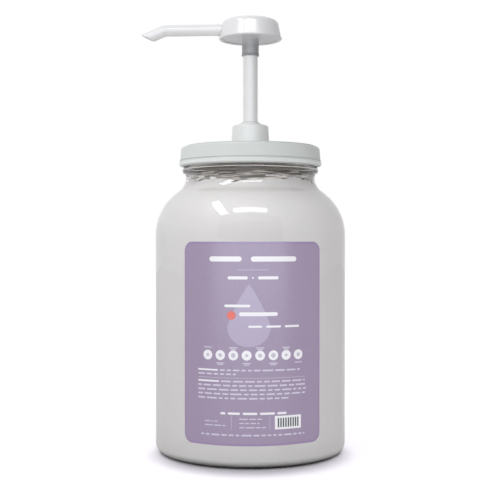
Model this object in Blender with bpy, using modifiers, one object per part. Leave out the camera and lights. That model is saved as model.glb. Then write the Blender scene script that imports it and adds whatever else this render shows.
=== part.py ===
"""Wide-mouth glass jar of lotion with a screw lid and a long-stroke dispensing pump.

Frame: +Z up along the jar's axis, origin at the centre of the jar's flat base.
The label faces -Y and the spout points along -X.

Sizes are in millimetres and the helpers turn them into metres.
"""

import math

import bmesh
import bpy
from mathutils import Matrix, Vector

MM = 0.001
GAP = 0.3  # clearance left between pieces that touch

# ---------------------------------------------------------------- glass jar
JAR_RADIUS = 78.2
GLASS_WALL = 3.0
BASE_THICKNESS = 6.0
HEEL_RADIUS = 6.0
BODY_TOP_Z = 177.3
SHOULDER_RADIUS = 43.7
NECK_FILLET = 14.8
NECK_RADIUS = 53.1
FINISH_RADIUS = 53.2
RIM_Z = 246.4
RIM_ROUND = 1.1
TRANSFER_BEAD_Z = 230.6
TRANSFER_BEAD_CENTRE_R = 53.5
TRANSFER_BEAD_ROUND = 2.7

# ---------------------------------------------------------------- lid thread
LID_PITCH = 5.08
JAR_THREAD_Z = 238.4
JAR_THREAD_BEAD = 1.5
LID_THREAD_BEAD = 1.4

# ---------------------------------------------------------------- screw lid
LID_TOP_Z = 249.8
LID_PLATE = 2.0
LID_BOTTOM_Z = 234.4
LID_TOP_RADIUS = 57.2
LID_SKIRT_RADIUS = 58.0
LID_BEAD_RADIUS = 58.7
LID_BEAD_TOP_Z = 237.4
LID_INNER_RADIUS = 55.3
LID_CORNER = 1.3
LID_HOLE_RADIUS = 13.8
SEAL_THICKNESS = 0.8
LINER_INNER_RADIUS = 23.0
GASKET_RADIUS = 21.5

# ---------------------------------------------------------------- label and lotion
LABEL_THICKNESS = 0.4
LABEL_HALF_WIDTH = 52.0
LABEL_BOTTOM_Z = 18.5
LABEL_TOP_Z = 172.5
LABEL_CORNER = 6.2
LOTION_TOP_Z = 222.5
LOTION_GAP = 0.5  # to the glass
LOTION_CLEARANCE = 1.1  # round the pump's hidden half

# ---------------------------------------------------------------- pump cylinder
BORE_RADIUS = 11.0
BARREL_RADIUS = 12.5
STUB_TOP_Z = 262.5
FLANGE_RADIUS = 21.0
FLANGE_THICKNESS = 2.3
SHOULDER_Z = 145.0
CHAMBER_RADIUS = 7.0
CHAMBER_FLOOR_Z = 131.0
SEAT_DEPTH = 2.0
INLET_THROAT = 2.6
SOCKET_TOP_Z = 127.0
SOCKET_BOTTOM_Z = 112.0
SOCKET_WALL = 1.8
DIP_TUBE_RADIUS = 5.0
DIP_TUBE_BORE = 3.8
DIP_TUBE_END_Z = 12.0
STUB_PITCH = 4.0
STUB_THREAD_Z = 253.5
STUB_THREAD_TURNS = 1.5
STUB_THREAD_BEAD = 0.9
COLLAR_THREAD_BEAD = 0.8

# ---------------------------------------------------------------- collar, bush and wiper
COLLAR_BOTTOM_RADIUS = 16.0
COLLAR_TOP_RADIUS = 14.8
COLLAR_BORE = 13.9
COLLAR_TOP_Z = 268.2
COLLAR_CONE_Z = 268.6
COLLAR_ROUND = 1.2
COLLAR_HOLE_RADIUS = 7.8
BUSH_BOTTOM_Z = 251.0
BUSH_FLANGE_TOP_Z = 264.3
WIPER_LIP_Z = 270.6

# ---------------------------------------------------------------- stem and piston
STEM_RADIUS = 6.05
STEM_BORE = 4.6
STEM_TOP_Z = 341.0
STEM_BOTTOM_Z = 228.0
RUNNING = 0.35  # radial clearance of the stem in its guides
PISTON_TOP_Z = 250.4
PISTON_RIB_Z = (238.5, 240.1)
SEAL_RADIUS = BORE_RADIUS - GAP
PLUG_BOTTOM_Z = 225.0
PLUG_THICKNESS = 2.7
OUTLET_THROAT = 1.9
INLET_BALL_RADIUS = 4.0
OUTLET_BALL_RADIUS = 2.8
BALL_LIFT = 2.5
SPRING_RADIUS = 8.5
SPRING_WIRE = 0.75
SPRING_TURNS = 10
SPRING_DEAD_TURNS = 1
SPRING_DEAD_PITCH = 1.9

# ---------------------------------------------------------------- head and spout
HUB_RADIUS = 6.95
HUB_CHAMFER = 0.4
HUB_BOTTOM_Z = 326.3
CAP_RIM_Z = 339.5
CAP_RIM_RADIUS = 25.7
CAP_TOP_RADIUS = 23.7
CAP_TOP_Z = 355.0
CAP_DOME = 1.2
CAP_CORNER = 4.7
CAP_WALL = 1.6
CORE_DISC_RADIUS = 23.35
CORE_DISC_Z = 339.9
CORE_DISC_RISE = 0.7
CORE_DISC_THICKNESS = 1.8
SPOUT_Z = 347.3
SPOUT_RADIUS = 4.65
SPOUT_BORE = 3.3
SPOUT_REACH = 89.7
SPOUT_TIP_DROP = 4.5  # height of the tip's point below SPOUT_Z
SPOUT_BEND_X = 70.8
SPOUT_BEND_RADIUS = 9.0
SPOUT_DROOP = math.radians(0.9)
SPOUT_TIP_SLOPE = math.radians(23.4)
SPOUT_CUT_SLOPE = math.radians(27.3)
SPOUT_INNER_X = 9.5
SPOUT_PIVOT_X = 17.0  # where the drooping centre line is at SPOUT_Z
FERRULE_RADIUS = 5.1
FERRULE_X = (26.0, 27.8)
BOSS_RADIUS = 5.8
BOSS_END_X = 18.0

FINE = 40
MEDIUM = 28
SMALL = 20


# ---------------------------------------------------------------- scene and materials
def clear_scene():
    for old in list(bpy.data.objects):
        bpy.data.objects.remove(old)


def new_collection(name):
    made = bpy.data.collections.new(name)
    bpy.context.scene.collection.children.link(made)
    return made


def material(name, color, roughness, metallic=0.0, alpha=1.0):
    made = bpy.data.materials.new(name)
    made.use_nodes = True
    shader = made.node_tree.nodes["Principled BSDF"]
    shader.inputs["Base Color"].default_value = (*color, 1.0)
    shader.inputs["Roughness"].default_value = roughness
    shader.inputs["Metallic"].default_value = metallic
    shader.inputs["Alpha"].default_value = alpha
    return made


def link(obj, paint=None):
    """Put a piece in the parts collection, or a shape with no paint in the cutters."""
    if paint is None:
        CUTTERS.objects.link(obj)
        obj.hide_render = True
        obj.display_type = "WIRE"
    else:
        PARTS.objects.link(obj)
        obj.data.materials.append(paint)
    return obj


# ---------------------------------------------------------------- shape helpers
def arc(centre_r, centre_z, radius, start, end, steps):
    """Points on an arc, with angles in degrees measured from +r towards +z."""
    points = []
    for i in range(steps + 1):
        angle = math.radians(start + (end - start) * i / steps)
        points.append((centre_r + radius * math.cos(angle), centre_z + radius * math.sin(angle)))
    return points


def turned(name, outline, paint=None, steps=MEDIUM, closed=True):
    """Turn an outline of (radius, height) points round the Z axis with a Screw modifier."""
    mesh = bpy.data.meshes.new(name)
    edges = [(i, i + 1) for i in range(len(outline) - 1)]
    if closed:
        edges.append((len(outline) - 1, 0))
    mesh.from_pydata([(r * MM, 0.0, z * MM) for r, z in outline], edges, [])
    obj = link(bpy.data.objects.new(name, mesh), paint)
    screw = obj.modifiers.new("Turn", "SCREW")
    screw.axis = "Z"
    screw.angle = 2 * math.pi
    screw.steps = steps
    screw.render_steps = steps
    screw.use_merge_vertices = True
    screw.merge_threshold = 0.00001
    screw.use_smooth_shade = True
    return obj


def mesh_from_curve(name, curve):
    """A welded mesh object from a curve, with its normals outward."""
    guide = bpy.data.objects.new(name + "_path", curve)
    bpy.context.scene.collection.objects.link(guide)
    evaluated = guide.evaluated_get(bpy.context.evaluated_depsgraph_get())
    mesh = bpy.data.meshes.new_from_object(evaluated)
    bpy.data.objects.remove(guide)
    weld = bmesh.new()
    weld.from_mesh(mesh)
    bmesh.ops.remove_doubles(weld, verts=weld.verts, dist=0.000001)
    bmesh.ops.recalc_face_normals(weld, faces=weld.faces)
    weld.to_mesh(mesh)
    weld.free()
    return bpy.data.objects.new(name, mesh)


def wire(name, points, radius, sides, scales=None):
    """A round bar along a row of points, as a closed mesh object."""
    curve = bpy.data.curves.new(name, "CURVE")
    curve.dimensions = "3D"
    curve.bevel_depth = radius * MM
    curve.bevel_resolution = sides // 2 - 2
    curve.use_fill_caps = True
    spline = curve.splines.new("POLY")
    spline.points.add(len(points) - 1)
    for i, point in enumerate(points):
        spline.points[i].co = (*(Vector(point) * MM), 1.0)
        spline.points[i].radius = scales[i] if scales else 1.0
    bar = mesh_from_curve(name, curve)
    bar.data.shade_smooth()
    return bar


def thread(name, wall_radius, bead, start_z, pitch, turns, steps, side, bead_sides=6):
    """A right-handed thread bead centred on a wall, its two ends thinned and sunk into the wall.

    side is +1 for a thread on the outside of a wall and -1 for one inside a bore.
    """
    count = round(turns * steps)
    fade = steps // 8
    points = []
    scales = []
    for i in range(count + 1):
        turn = i / steps
        sunk = max(0.0, 1 - min(i, count - i) / fade)
        radius = wall_radius - side * sunk * bead * 0.6
        angle = 2 * math.pi * turn
        points.append((radius * math.cos(angle), radius * math.sin(angle), start_z + pitch * turn))
        scales.append(1 - 0.5 * sunk)
    return link(wire(name, points, bead, bead_sides, scales))


def ball(name, radius, centre_z, paint):
    mesh = bpy.data.meshes.new(name)
    shape = bmesh.new()
    bmesh.ops.create_uvsphere(shape, u_segments=16, v_segments=10, radius=radius * MM)
    shape.to_mesh(mesh)
    shape.free()
    mesh.shade_smooth()
    obj = link(bpy.data.objects.new(name, mesh), paint)
    obj.location = (0, 0, centre_z * MM)
    return obj


def box_cutter(name, size, centre, tilt=0.0):
    """A block turned by tilt about the Y axis."""
    mesh = bpy.data.meshes.new(name)
    shape = bmesh.new()
    bmesh.ops.create_cube(shape, size=1.0)
    bmesh.ops.scale(shape, vec=Vector(size) * MM, verts=shape.verts)
    shape.to_mesh(mesh)
    shape.free()
    obj = link(bpy.data.objects.new(name, mesh))
    obj.matrix_world = Matrix.Translation(Vector(centre) * MM) @ Matrix.Rotation(tilt, 4, "Y")
    return obj


def side_rod(name, radius, from_x, to_x, sides=SMALL):
    """A round bar along -X at the height of the spout, between two distances from the axis."""
    mesh = bpy.data.meshes.new(name)
    shape = bmesh.new()
    bmesh.ops.create_cone(
        shape,
        cap_ends=True,
        segments=sides,
        radius1=radius * MM,
        radius2=radius * MM,
        depth=(to_x - from_x) * MM,
        matrix=Matrix.Rotation(math.pi / 2, 4, "Y"),
    )
    shape.to_mesh(mesh)
    shape.free()
    obj = link(bpy.data.objects.new(name, mesh))
    obj.location = (-(from_x + to_x) / 2 * MM, 0, SPOUT_Z * MM)
    return obj


def boolean(obj, other, operation):
    step = obj.modifiers.new(other.name, "BOOLEAN")
    step.operation = operation
    step.solver = "EXACT"
    step.object = other


# ---------------------------------------------------------------- jar
def shoulder_angle():
    """Angle at which the shoulder's round meets the neck's fillet, in degrees."""
    span = SHOULDER_RADIUS + NECK_FILLET
    return math.degrees(math.acos(1 - (JAR_RADIUS - NECK_RADIUS) / span))


def waist_z():
    span = SHOULDER_RADIUS + NECK_FILLET
    return BODY_TOP_Z + span * math.sin(math.radians(shoulder_angle()))


def jar_side(inset):
    """Heel, wall, shoulder and neck fillet of the jar, bottom to top, moved inwards by inset."""
    angle = shoulder_angle()
    wall = JAR_RADIUS - inset
    heel = HEEL_RADIUS - 0.7 * inset
    floor = BASE_THICKNESS / GLASS_WALL * inset
    side = arc(wall - heel, floor + heel, heel, -90, 0, 3)
    side += arc(JAR_RADIUS - SHOULDER_RADIUS, BODY_TOP_Z, SHOULDER_RADIUS - inset, 0, angle, 5)
    side += arc(NECK_RADIUS + NECK_FILLET, waist_z(), NECK_FILLET + inset, 180 + angle, 180, 3)[1:]
    return side


def jar_outline():
    bead = arc(TRANSFER_BEAD_CENTRE_R, TRANSFER_BEAD_Z, TRANSFER_BEAD_ROUND, 80, -80, 4)
    rim = arc(FINISH_RADIUS - RIM_ROUND, RIM_Z - RIM_ROUND, RIM_ROUND, 90, 0, 2)
    inner_neck = NECK_RADIUS - GLASS_WALL
    inside = [(0, BASE_THICKNESS)] + jar_side(GLASS_WALL)
    mouth = [(inner_neck, RIM_Z - RIM_ROUND), (inner_neck + 0.5, RIM_Z)]
    outside = rim + bead + jar_side(0)[::-1] + [(0, 0)]
    return inside + mouth + outside


def make_jar():
    glass = material("clear_glass", (0.86, 0.92, 0.90), 0.03, alpha=0.35)
    jar = turned("glass_jar", jar_outline(), glass, FINE, closed=False)
    bead = thread("jar_thread", FINISH_RADIUS, JAR_THREAD_BEAD, JAR_THREAD_Z, LID_PITCH, 1, FINE, 1)
    boolean(jar, bead, "UNION")


def lotion_outline():
    """The fill, with a blind well that clears the pump cylinder and the dip tube."""
    side = [p for p in jar_side(GLASS_WALL + LOTION_GAP) if p[1] < LOTION_TOP_Z]
    wide = BARREL_RADIUS + LOTION_CLEARANCE
    narrow = DIP_TUBE_RADIUS + SOCKET_WALL + GAP + LOTION_CLEARANCE
    well = [
        (0, DIP_TUBE_END_Z - 1),
        (DIP_TUBE_RADIUS + LOTION_CLEARANCE, DIP_TUBE_END_Z - 1),
        (DIP_TUBE_RADIUS + LOTION_CLEARANCE, SOCKET_BOTTOM_Z - 2),
        (narrow, SOCKET_BOTTOM_Z - 2),
        (narrow, CHAMBER_FLOOR_Z - 1),
        (wide, SHOULDER_Z - 4),
        (wide, LOTION_TOP_Z),
    ]
    top_edge = (side[-1][0] - 0.8, LOTION_TOP_Z)
    return well + [top_edge] + side[::-1] + [(0, side[0][1])]


def make_lotion():
    cream = material("lotion", (0.86, 0.84, 0.80), 0.35)
    turned("lotion_fill", lotion_outline(), cream, MEDIUM, closed=False)


def rounded_panel(name, half_width, low, high, corner):
    """A block with rounded corners that covers the front of the jar, for trimming the label."""
    curve = bpy.data.curves.new(name, "CURVE")
    curve.dimensions = "2D"
    curve.fill_mode = "BOTH"
    curve.extrude = JAR_RADIUS / 2 * MM
    spline = curve.splines.new("POLY")
    points = arc(half_width - corner, high - corner, corner, 0, 90, 4)
    points += arc(corner - half_width, high - corner, corner, 90, 180, 4)
    points += arc(corner - half_width, low + corner, corner, 180, 270, 4)
    points += arc(half_width - corner, low + corner, corner, 270, 360, 4)
    spline.points.add(len(points) - 1)
    for i, (x, z) in enumerate(points):
        spline.points[i].co = (x * MM, z * MM, 0, 1)
    spline.use_cyclic_u = True
    obj = link(mesh_from_curve(name, curve))
    stand_up = Matrix.Rotation(math.pi / 2, 4, "X")
    obj.matrix_world = Matrix.Translation((0, -JAR_RADIUS * MM, 0)) @ stand_up
    return obj


def make_label():
    paper = material("label_paper", (0.30, 0.20, 0.42), 0.45)
    inner = JAR_RADIUS + GAP
    outer = inner + LABEL_THICKNESS
    low, high = LABEL_BOTTOM_Z - 5, LABEL_TOP_Z + 5
    band = [(outer, high), (outer, low), (inner, low), (inner, high)]
    label = turned("front_label", band, paper, 72)
    panel = rounded_panel("label_panel", LABEL_HALF_WIDTH, LABEL_BOTTOM_Z, LABEL_TOP_Z, LABEL_CORNER)
    boolean(label, panel, "INTERSECT")


# ---------------------------------------------------------------- lid
def lid_outline():
    corner_r = LID_TOP_RADIUS - LID_CORNER
    corner = arc(corner_r, LID_TOP_Z - LID_CORNER, LID_CORNER, 90, 5, 3)
    bead = [
        (LID_SKIRT_RADIUS, LID_BEAD_TOP_Z + 0.6),
        (LID_BEAD_RADIUS - 0.1, LID_BEAD_TOP_Z),
        (LID_BEAD_RADIUS, LID_BEAD_TOP_Z - 0.6),
        (LID_BEAD_RADIUS, LID_BOTTOM_Z + 0.6),
        (LID_BEAD_RADIUS - 0.6, LID_BOTTOM_Z),
    ]
    underside = LID_TOP_Z - LID_PLATE
    inside = [
        (LID_INNER_RADIUS + 0.3, LID_BOTTOM_Z),
        (LID_INNER_RADIUS, LID_BOTTOM_Z + 0.3),
        (LID_INNER_RADIUS, underside),
        (LID_HOLE_RADIUS, underside),
        (LID_HOLE_RADIUS, LID_TOP_Z),
    ]
    return corner + bead + inside


def make_lid():
    white = material("lid_white", (0.80, 0.82, 0.80), 0.5)
    lid = turned("screw_lid", lid_outline(), white, FINE)
    low = JAR_THREAD_Z - LID_PITCH / 2
    bead = thread("lid_thread", LID_INNER_RADIUS, LID_THREAD_BEAD, low, LID_PITCH, 1, FINE, -1)
    boolean(lid, bead, "UNION")


def flat_ring(name, outer, inner, low, high, paint, steps):
    return turned(name, [(outer, high), (outer, low), (inner, low), (inner, high)], paint, steps)


def make_seals():
    high = LID_TOP_Z - LID_PLATE - GAP
    low = high - SEAL_THICKNESS
    foam = material("liner_foam", (0.85, 0.85, 0.84), 0.8)
    flat_ring("lid_liner", LID_INNER_RADIUS - 0.4, LINER_INNER_RADIUS, low, high, foam, FINE)
    rubber = material("gasket_rubber", (0.75, 0.74, 0.70), 0.7)
    flat_ring("cylinder_gasket", GASKET_RADIUS, LID_HOLE_RADIUS, low, high, rubber, MEDIUM)


# ---------------------------------------------------------------- pump cylinder
def cylinder_outline():
    flange_top = RIM_Z
    flange_low = flange_top - FLANGE_THICKNESS
    socket_bore = DIP_TUBE_RADIUS + GAP
    socket_outer = socket_bore + SOCKET_WALL
    seat_top = INLET_THROAT + SEAT_DEPTH
    outside = [
        (BARREL_RADIUS, STUB_TOP_Z),
        (BARREL_RADIUS, flange_top),
        (FLANGE_RADIUS, flange_top),
        (FLANGE_RADIUS, flange_low),
        (BARREL_RADIUS, flange_low),
        (BARREL_RADIUS, SHOULDER_Z - 2),
        (CHAMBER_RADIUS + 2, CHAMBER_FLOOR_Z + 3),
        (socket_outer, CHAMBER_FLOOR_Z),
        (socket_outer, SOCKET_BOTTOM_Z),
    ]
    inside = [
        (socket_bore, SOCKET_BOTTOM_Z),
        (socket_bore, SOCKET_TOP_Z),
        (INLET_THROAT, SOCKET_TOP_Z),
        (INLET_THROAT, CHAMBER_FLOOR_Z - SEAT_DEPTH),
        (seat_top, CHAMBER_FLOOR_Z),
        (CHAMBER_RADIUS, CHAMBER_FLOOR_Z),
        (CHAMBER_RADIUS, SHOULDER_Z),
        (BORE_RADIUS, SHOULDER_Z),
        (BORE_RADIUS, STUB_TOP_Z),
    ]
    return outside + inside


def make_cylinder(plastic):
    cylinder = turned("pump_cylinder", cylinder_outline(), plastic)
    bead = thread(
        "stub_thread",
        BARREL_RADIUS,
        STUB_THREAD_BEAD,
        STUB_THREAD_Z,
        STUB_PITCH,
        STUB_THREAD_TURNS,
        MEDIUM,
        1,
        4,
    )
    boolean(cylinder, bead, "UNION")


def make_dip_tube():
    natural = material("tube_plastic", (0.80, 0.82, 0.82), 0.4)
    high = SOCKET_TOP_Z - GAP
    tube = flat_ring(
        "dip_tube", DIP_TUBE_RADIUS, DIP_TUBE_BORE, DIP_TUBE_END_Z, high, natural, SMALL
    )
    slant = math.radians(45)
    reach = 4 * DIP_TUBE_RADIUS
    drop = reach / 2 / math.cos(slant)
    centre = (0, 0, DIP_TUBE_END_Z + DIP_TUBE_RADIUS - drop)
    knife = box_cutter("dip_tube_slant", (2 * reach, reach, reach), centre, slant)
    boolean(tube, knife, "DIFFERENCE")


def make_collar(plastic):
    low = LID_TOP_Z + GAP
    round_z = COLLAR_TOP_Z - COLLAR_ROUND
    shoulder = arc(COLLAR_TOP_RADIUS - COLLAR_ROUND, round_z, COLLAR_ROUND, 80, 5, 3)
    neck_bore = COLLAR_BORE - 1
    neck_z = STUB_TOP_Z - 1
    plate_z = BUSH_FLANGE_TOP_Z + 1.9
    outline = [(COLLAR_HOLE_RADIUS, COLLAR_CONE_Z)] + shoulder
    outline += [
        (COLLAR_BOTTOM_RADIUS, low),
        (COLLAR_BORE + 0.3, low),
        (COLLAR_BORE, low + 0.3),
        (COLLAR_BORE, neck_z),
        (neck_bore, neck_z + 0.5),
        (neck_bore, plate_z),
        (COLLAR_HOLE_RADIUS, plate_z),
    ]
    collar = turned("pump_collar", outline, plastic)
    bead = thread(
        "collar_thread",
        COLLAR_BORE,
        COLLAR_THREAD_BEAD,
        STUB_THREAD_Z - STUB_PITCH / 2 + 0.3,
        STUB_PITCH,
        STUB_THREAD_TURNS,
        MEDIUM,
        -1,
        4,
    )
    boolean(collar, bead, "UNION")


def make_bush(plastic):
    bore = STEM_RADIUS + RUNNING
    sleeve = BORE_RADIUS - GAP
    flange_low = STUB_TOP_Z + GAP
    outline = [
        (BARREL_RADIUS - 0.1, BUSH_FLANGE_TOP_Z),
        (BARREL_RADIUS - 0.1, flange_low),
        (sleeve, flange_low),
        (sleeve, BUSH_BOTTOM_Z),
        (bore, BUSH_BOTTOM_Z),
        (bore, BUSH_FLANGE_TOP_Z),
    ]
    turned("stem_bush", outline, plastic, SMALL)


def make_wiper():
    soft = material("wiper_soft", (0.90, 0.90, 0.89), 0.45)
    bore = STEM_RADIUS + GAP
    flange_low = BUSH_FLANGE_TOP_Z + GAP
    flange_top = flange_low + 1.3
    neck = COLLAR_HOLE_RADIUS - GAP
    lip_z = COLLAR_CONE_Z + 0.4
    outline = [
        (bore + 0.2, WIPER_LIP_Z),
        (bore + 0.9, WIPER_LIP_Z - 0.7),
        (COLLAR_HOLE_RADIUS + 0.6, lip_z + 0.2),
        (COLLAR_HOLE_RADIUS + 0.6, lip_z),
        (neck, lip_z - 0.1),
        (neck, flange_top),
        (BARREL_RADIUS - 1.5, flange_top),
        (BARREL_RADIUS - 1.5, flange_low),
        (bore, flange_low),
        (bore, WIPER_LIP_Z - 0.2),
    ]
    turned("stem_wiper", outline, soft, SMALL)


# ---------------------------------------------------------------- valves and spring
def seated_height(throat, cone_low_z, radius):
    """Centre height of a ball that rests on a 45 degree seat, less a hair's clearance."""
    return cone_low_z - throat + (radius + GAP) * math.sqrt(2)


def cage_outline(outer, inner, low, roof, top):
    """A tube with a pierced roof across it; the flow passes the roof through slots."""
    hole = 0.35 * inner
    roof_top = roof + 1.3
    return [
        (outer, top),
        (outer, low),
        (inner, low),
        (inner, roof),
        (hole, roof),
        (hole, roof_top),
        (inner, roof_top),
        (inner, top),
    ]


def slot_roof(cage, inner, roof):
    """Two crossing slots that reach past the ball's contact ring."""
    for i, size in enumerate(((1.8 * inner, 0.4 * inner, 3.0), (0.4 * inner, 1.8 * inner, 3.0))):
        knife = box_cutter(f"{cage.name}_slot_{i}", size, (0, 0, roof + 0.7))
        boolean(cage, knife, "DIFFERENCE")


def make_inlet_valve(plastic, steel):
    centre = seated_height(INLET_THROAT, CHAMBER_FLOOR_Z - SEAT_DEPTH, INLET_BALL_RADIUS)
    ball("inlet_ball", INLET_BALL_RADIUS, centre, steel)
    roof = centre + INLET_BALL_RADIUS + BALL_LIFT + 0.4
    inner = INLET_BALL_RADIUS + 1.2
    outer = CHAMBER_RADIUS - GAP
    flange_low = SHOULDER_Z + GAP
    outline = cage_outline(outer, inner, CHAMBER_FLOOR_Z + 0.4, roof, flange_low + 1.5)
    flange = [(SEAL_RADIUS, flange_low + 1.5), (SEAL_RADIUS, flange_low), (outer, flange_low)]
    cage = turned("inlet_ball_cage", flange + outline[1:], plastic, SMALL)
    slot_roof(cage, inner, roof)


def make_outlet_valve(plastic, steel):
    spigot = STEM_BORE - GAP
    flange_top = PLUG_BOTTOM_Z + PLUG_THICKNESS
    spigot_top = flange_top + 5.3
    cone_z = spigot_top - SEAT_DEPTH
    plug = [
        (OUTLET_THROAT + SEAT_DEPTH, spigot_top),
        (spigot, spigot_top),
        (spigot, flange_top),
        (SEAL_RADIUS - 1.1, flange_top),
        (SEAL_RADIUS - 1.1, PLUG_BOTTOM_Z),
        (OUTLET_THROAT, PLUG_BOTTOM_Z),
        (OUTLET_THROAT, cone_z),
    ]
    turned("outlet_valve_seat", plug, plastic, SMALL)
    centre = seated_height(OUTLET_THROAT, cone_z, OUTLET_BALL_RADIUS)
    ball("outlet_ball", OUTLET_BALL_RADIUS, centre, steel)
    roof = centre + OUTLET_BALL_RADIUS + BALL_LIFT + 0.4
    inner = OUTLET_BALL_RADIUS + 0.6
    outline = cage_outline(spigot, inner, spigot_top + GAP, roof, roof + 2.5)
    cage = turned("outlet_ball_cage", outline, plastic, SMALL)
    slot_roof(cage, inner, roof)


def spring_height(turn, low, high):
    """Wire height after a number of turns: close end coils and even working coils."""
    dead = SPRING_DEAD_TURNS
    working = SPRING_TURNS - 2 * dead
    rise = (high - low - 2 * dead * SPRING_DEAD_PITCH) / working
    if turn < dead:
        return low + SPRING_DEAD_PITCH * turn
    if turn > dead + working:
        return high - SPRING_DEAD_PITCH * (SPRING_TURNS - turn)
    return low + SPRING_DEAD_PITCH * dead + rise * (turn - dead)


def make_spring():
    steel = material("spring_steel", (0.62, 0.62, 0.62), 0.3, 1.0)
    low = SHOULDER_Z + 2 * GAP + 1.5 + SPRING_WIRE
    high = PLUG_BOTTOM_Z - GAP - SPRING_WIRE
    per_turn = 12
    points = []
    for i in range(SPRING_TURNS * per_turn + 1):
        turn = i / per_turn
        angle = 2 * math.pi * turn
        x, y = SPRING_RADIUS * math.cos(angle), SPRING_RADIUS * math.sin(angle)
        points.append((x, y, spring_height(turn, low, high)))
    link(wire("return_spring", points, SPRING_WIRE, 6), steel)


# ---------------------------------------------------------------- piston and stem
def cup_seal(name, low, high, paint):
    """A sleeve with two thin lips that spread towards the cylinder's wall."""
    inner = STEM_RADIUS + 2.65
    waist = SEAL_RADIUS - 0.7
    outline = [
        (SEAL_RADIUS, high),
        (SEAL_RADIUS, high - 1.0),
        (waist, high - 2.5),
        (waist, low + 2.5),
        (SEAL_RADIUS, low + 1.0),
        (SEAL_RADIUS, low),
        (SEAL_RADIUS - 0.6, low),
        (waist - 0.5, low + 1.5),
        (inner, low + 1.5),
        (inner, high - 1.5),
        (waist - 0.5, high - 1.5),
        (SEAL_RADIUS - 0.6, high),
    ]
    turned(name, outline, paint, SMALL)


def make_piston(plastic):
    bore = STEM_RADIUS + RUNNING
    sleeve = bore + 2.0
    low = STEM_BOTTOM_Z + GAP
    flange_low = PISTON_TOP_Z - 1.8
    rib_low, rib_high = PISTON_RIB_Z
    outline = [
        (SEAL_RADIUS - 0.4, PISTON_TOP_Z),
        (SEAL_RADIUS - 0.4, flange_low),
        (sleeve, flange_low),
        (sleeve, rib_high),
        (SEAL_RADIUS - 0.8, rib_high),
        (SEAL_RADIUS - 0.8, rib_low),
        (sleeve, rib_low),
        (sleeve, low),
        (bore, low),
        (bore, PISTON_TOP_Z),
    ]
    turned("piston_carrier", outline, plastic, SMALL)
    soft = material("seal_soft", (0.88, 0.88, 0.86), 0.5)
    cup_seal("upper_piston_seal", rib_high + GAP, flange_low - GAP, soft)
    cup_seal("lower_piston_seal", low + GAP, rib_low - GAP, soft)


def make_stem(plastic):
    flat_ring("stem_tube", STEM_RADIUS, STEM_BORE, STEM_BOTTOM_Z, STEM_TOP_Z, plastic, SMALL)


# ---------------------------------------------------------------- head
def make_head_core(plastic):
    """Hub for the stem, a flow turret above it, the floor of the head and the spout's socket."""
    bore = STEM_RADIUS + GAP
    disc_hub_z = CORE_DISC_Z + CORE_DISC_RISE
    turret = HUB_RADIUS + 0.4
    turret_top = CAP_TOP_Z - CAP_WALL - GAP
    outline = [
        (0, turret_top),
        (turret, turret_top),
        (turret, disc_hub_z + CORE_DISC_THICKNESS),
        (CORE_DISC_RADIUS, CORE_DISC_Z + CORE_DISC_THICKNESS),
        (CORE_DISC_RADIUS, CORE_DISC_Z),
        (HUB_RADIUS, disc_hub_z),
        (HUB_RADIUS, HUB_BOTTOM_Z + 3 * HUB_CHAMFER),
        (HUB_RADIUS - HUB_CHAMFER, HUB_BOTTOM_Z),
        (bore, HUB_BOTTOM_Z),
        (bore, STEM_TOP_Z + GAP),
        (STEM_BORE, STEM_TOP_Z + GAP),
        (STEM_BORE, turret_top - 1.8),
        (0, turret_top - 1.8),
    ]
    core = turned("head_core", outline, plastic, MEDIUM, closed=False)
    boolean(core, side_rod("core_boss", BOSS_RADIUS, STEM_BORE + 0.8, BOSS_END_X), "UNION")
    socket = side_rod("core_socket", SPOUT_RADIUS + GAP, SPOUT_INNER_X - GAP, BOSS_END_X + 2)
    boolean(core, socket, "DIFFERENCE")
    boolean(core, side_rod("core_passage", SPOUT_BORE, 0, SPOUT_INNER_X + 2, 16), "DIFFERENCE")


def make_head_cap(plastic):
    corner_r = CAP_TOP_RADIUS - CAP_CORNER
    corner_z = CAP_TOP_Z - CAP_CORNER
    outer_corner = arc(corner_r, corner_z, CAP_CORNER, 85, 8, 4)
    inner_corner = arc(corner_r, corner_z, CAP_CORNER - CAP_WALL, 8, 85, 2)
    outline = [
        (0, CAP_TOP_Z + CAP_DOME),
        (corner_r * 0.5, CAP_TOP_Z + CAP_DOME * 0.75),
    ]
    outline += outer_corner
    outline += [
        (CAP_RIM_RADIUS, CAP_RIM_Z + 0.5),
        (CAP_RIM_RADIUS - 0.5, CAP_RIM_Z),
        (CAP_RIM_RADIUS - CAP_WALL, CAP_RIM_Z),
    ]
    outline += inner_corner
    outline += [(0, CAP_TOP_Z - CAP_WALL)]
    cap = turned("head_cap", outline, plastic, FINE, closed=False)
    hole = side_rod("cap_hole", SPOUT_RADIUS + GAP, CAP_TOP_RADIUS - 6, CAP_RIM_RADIUS + 4)
    boolean(cap, hole, "DIFFERENCE")


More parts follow.
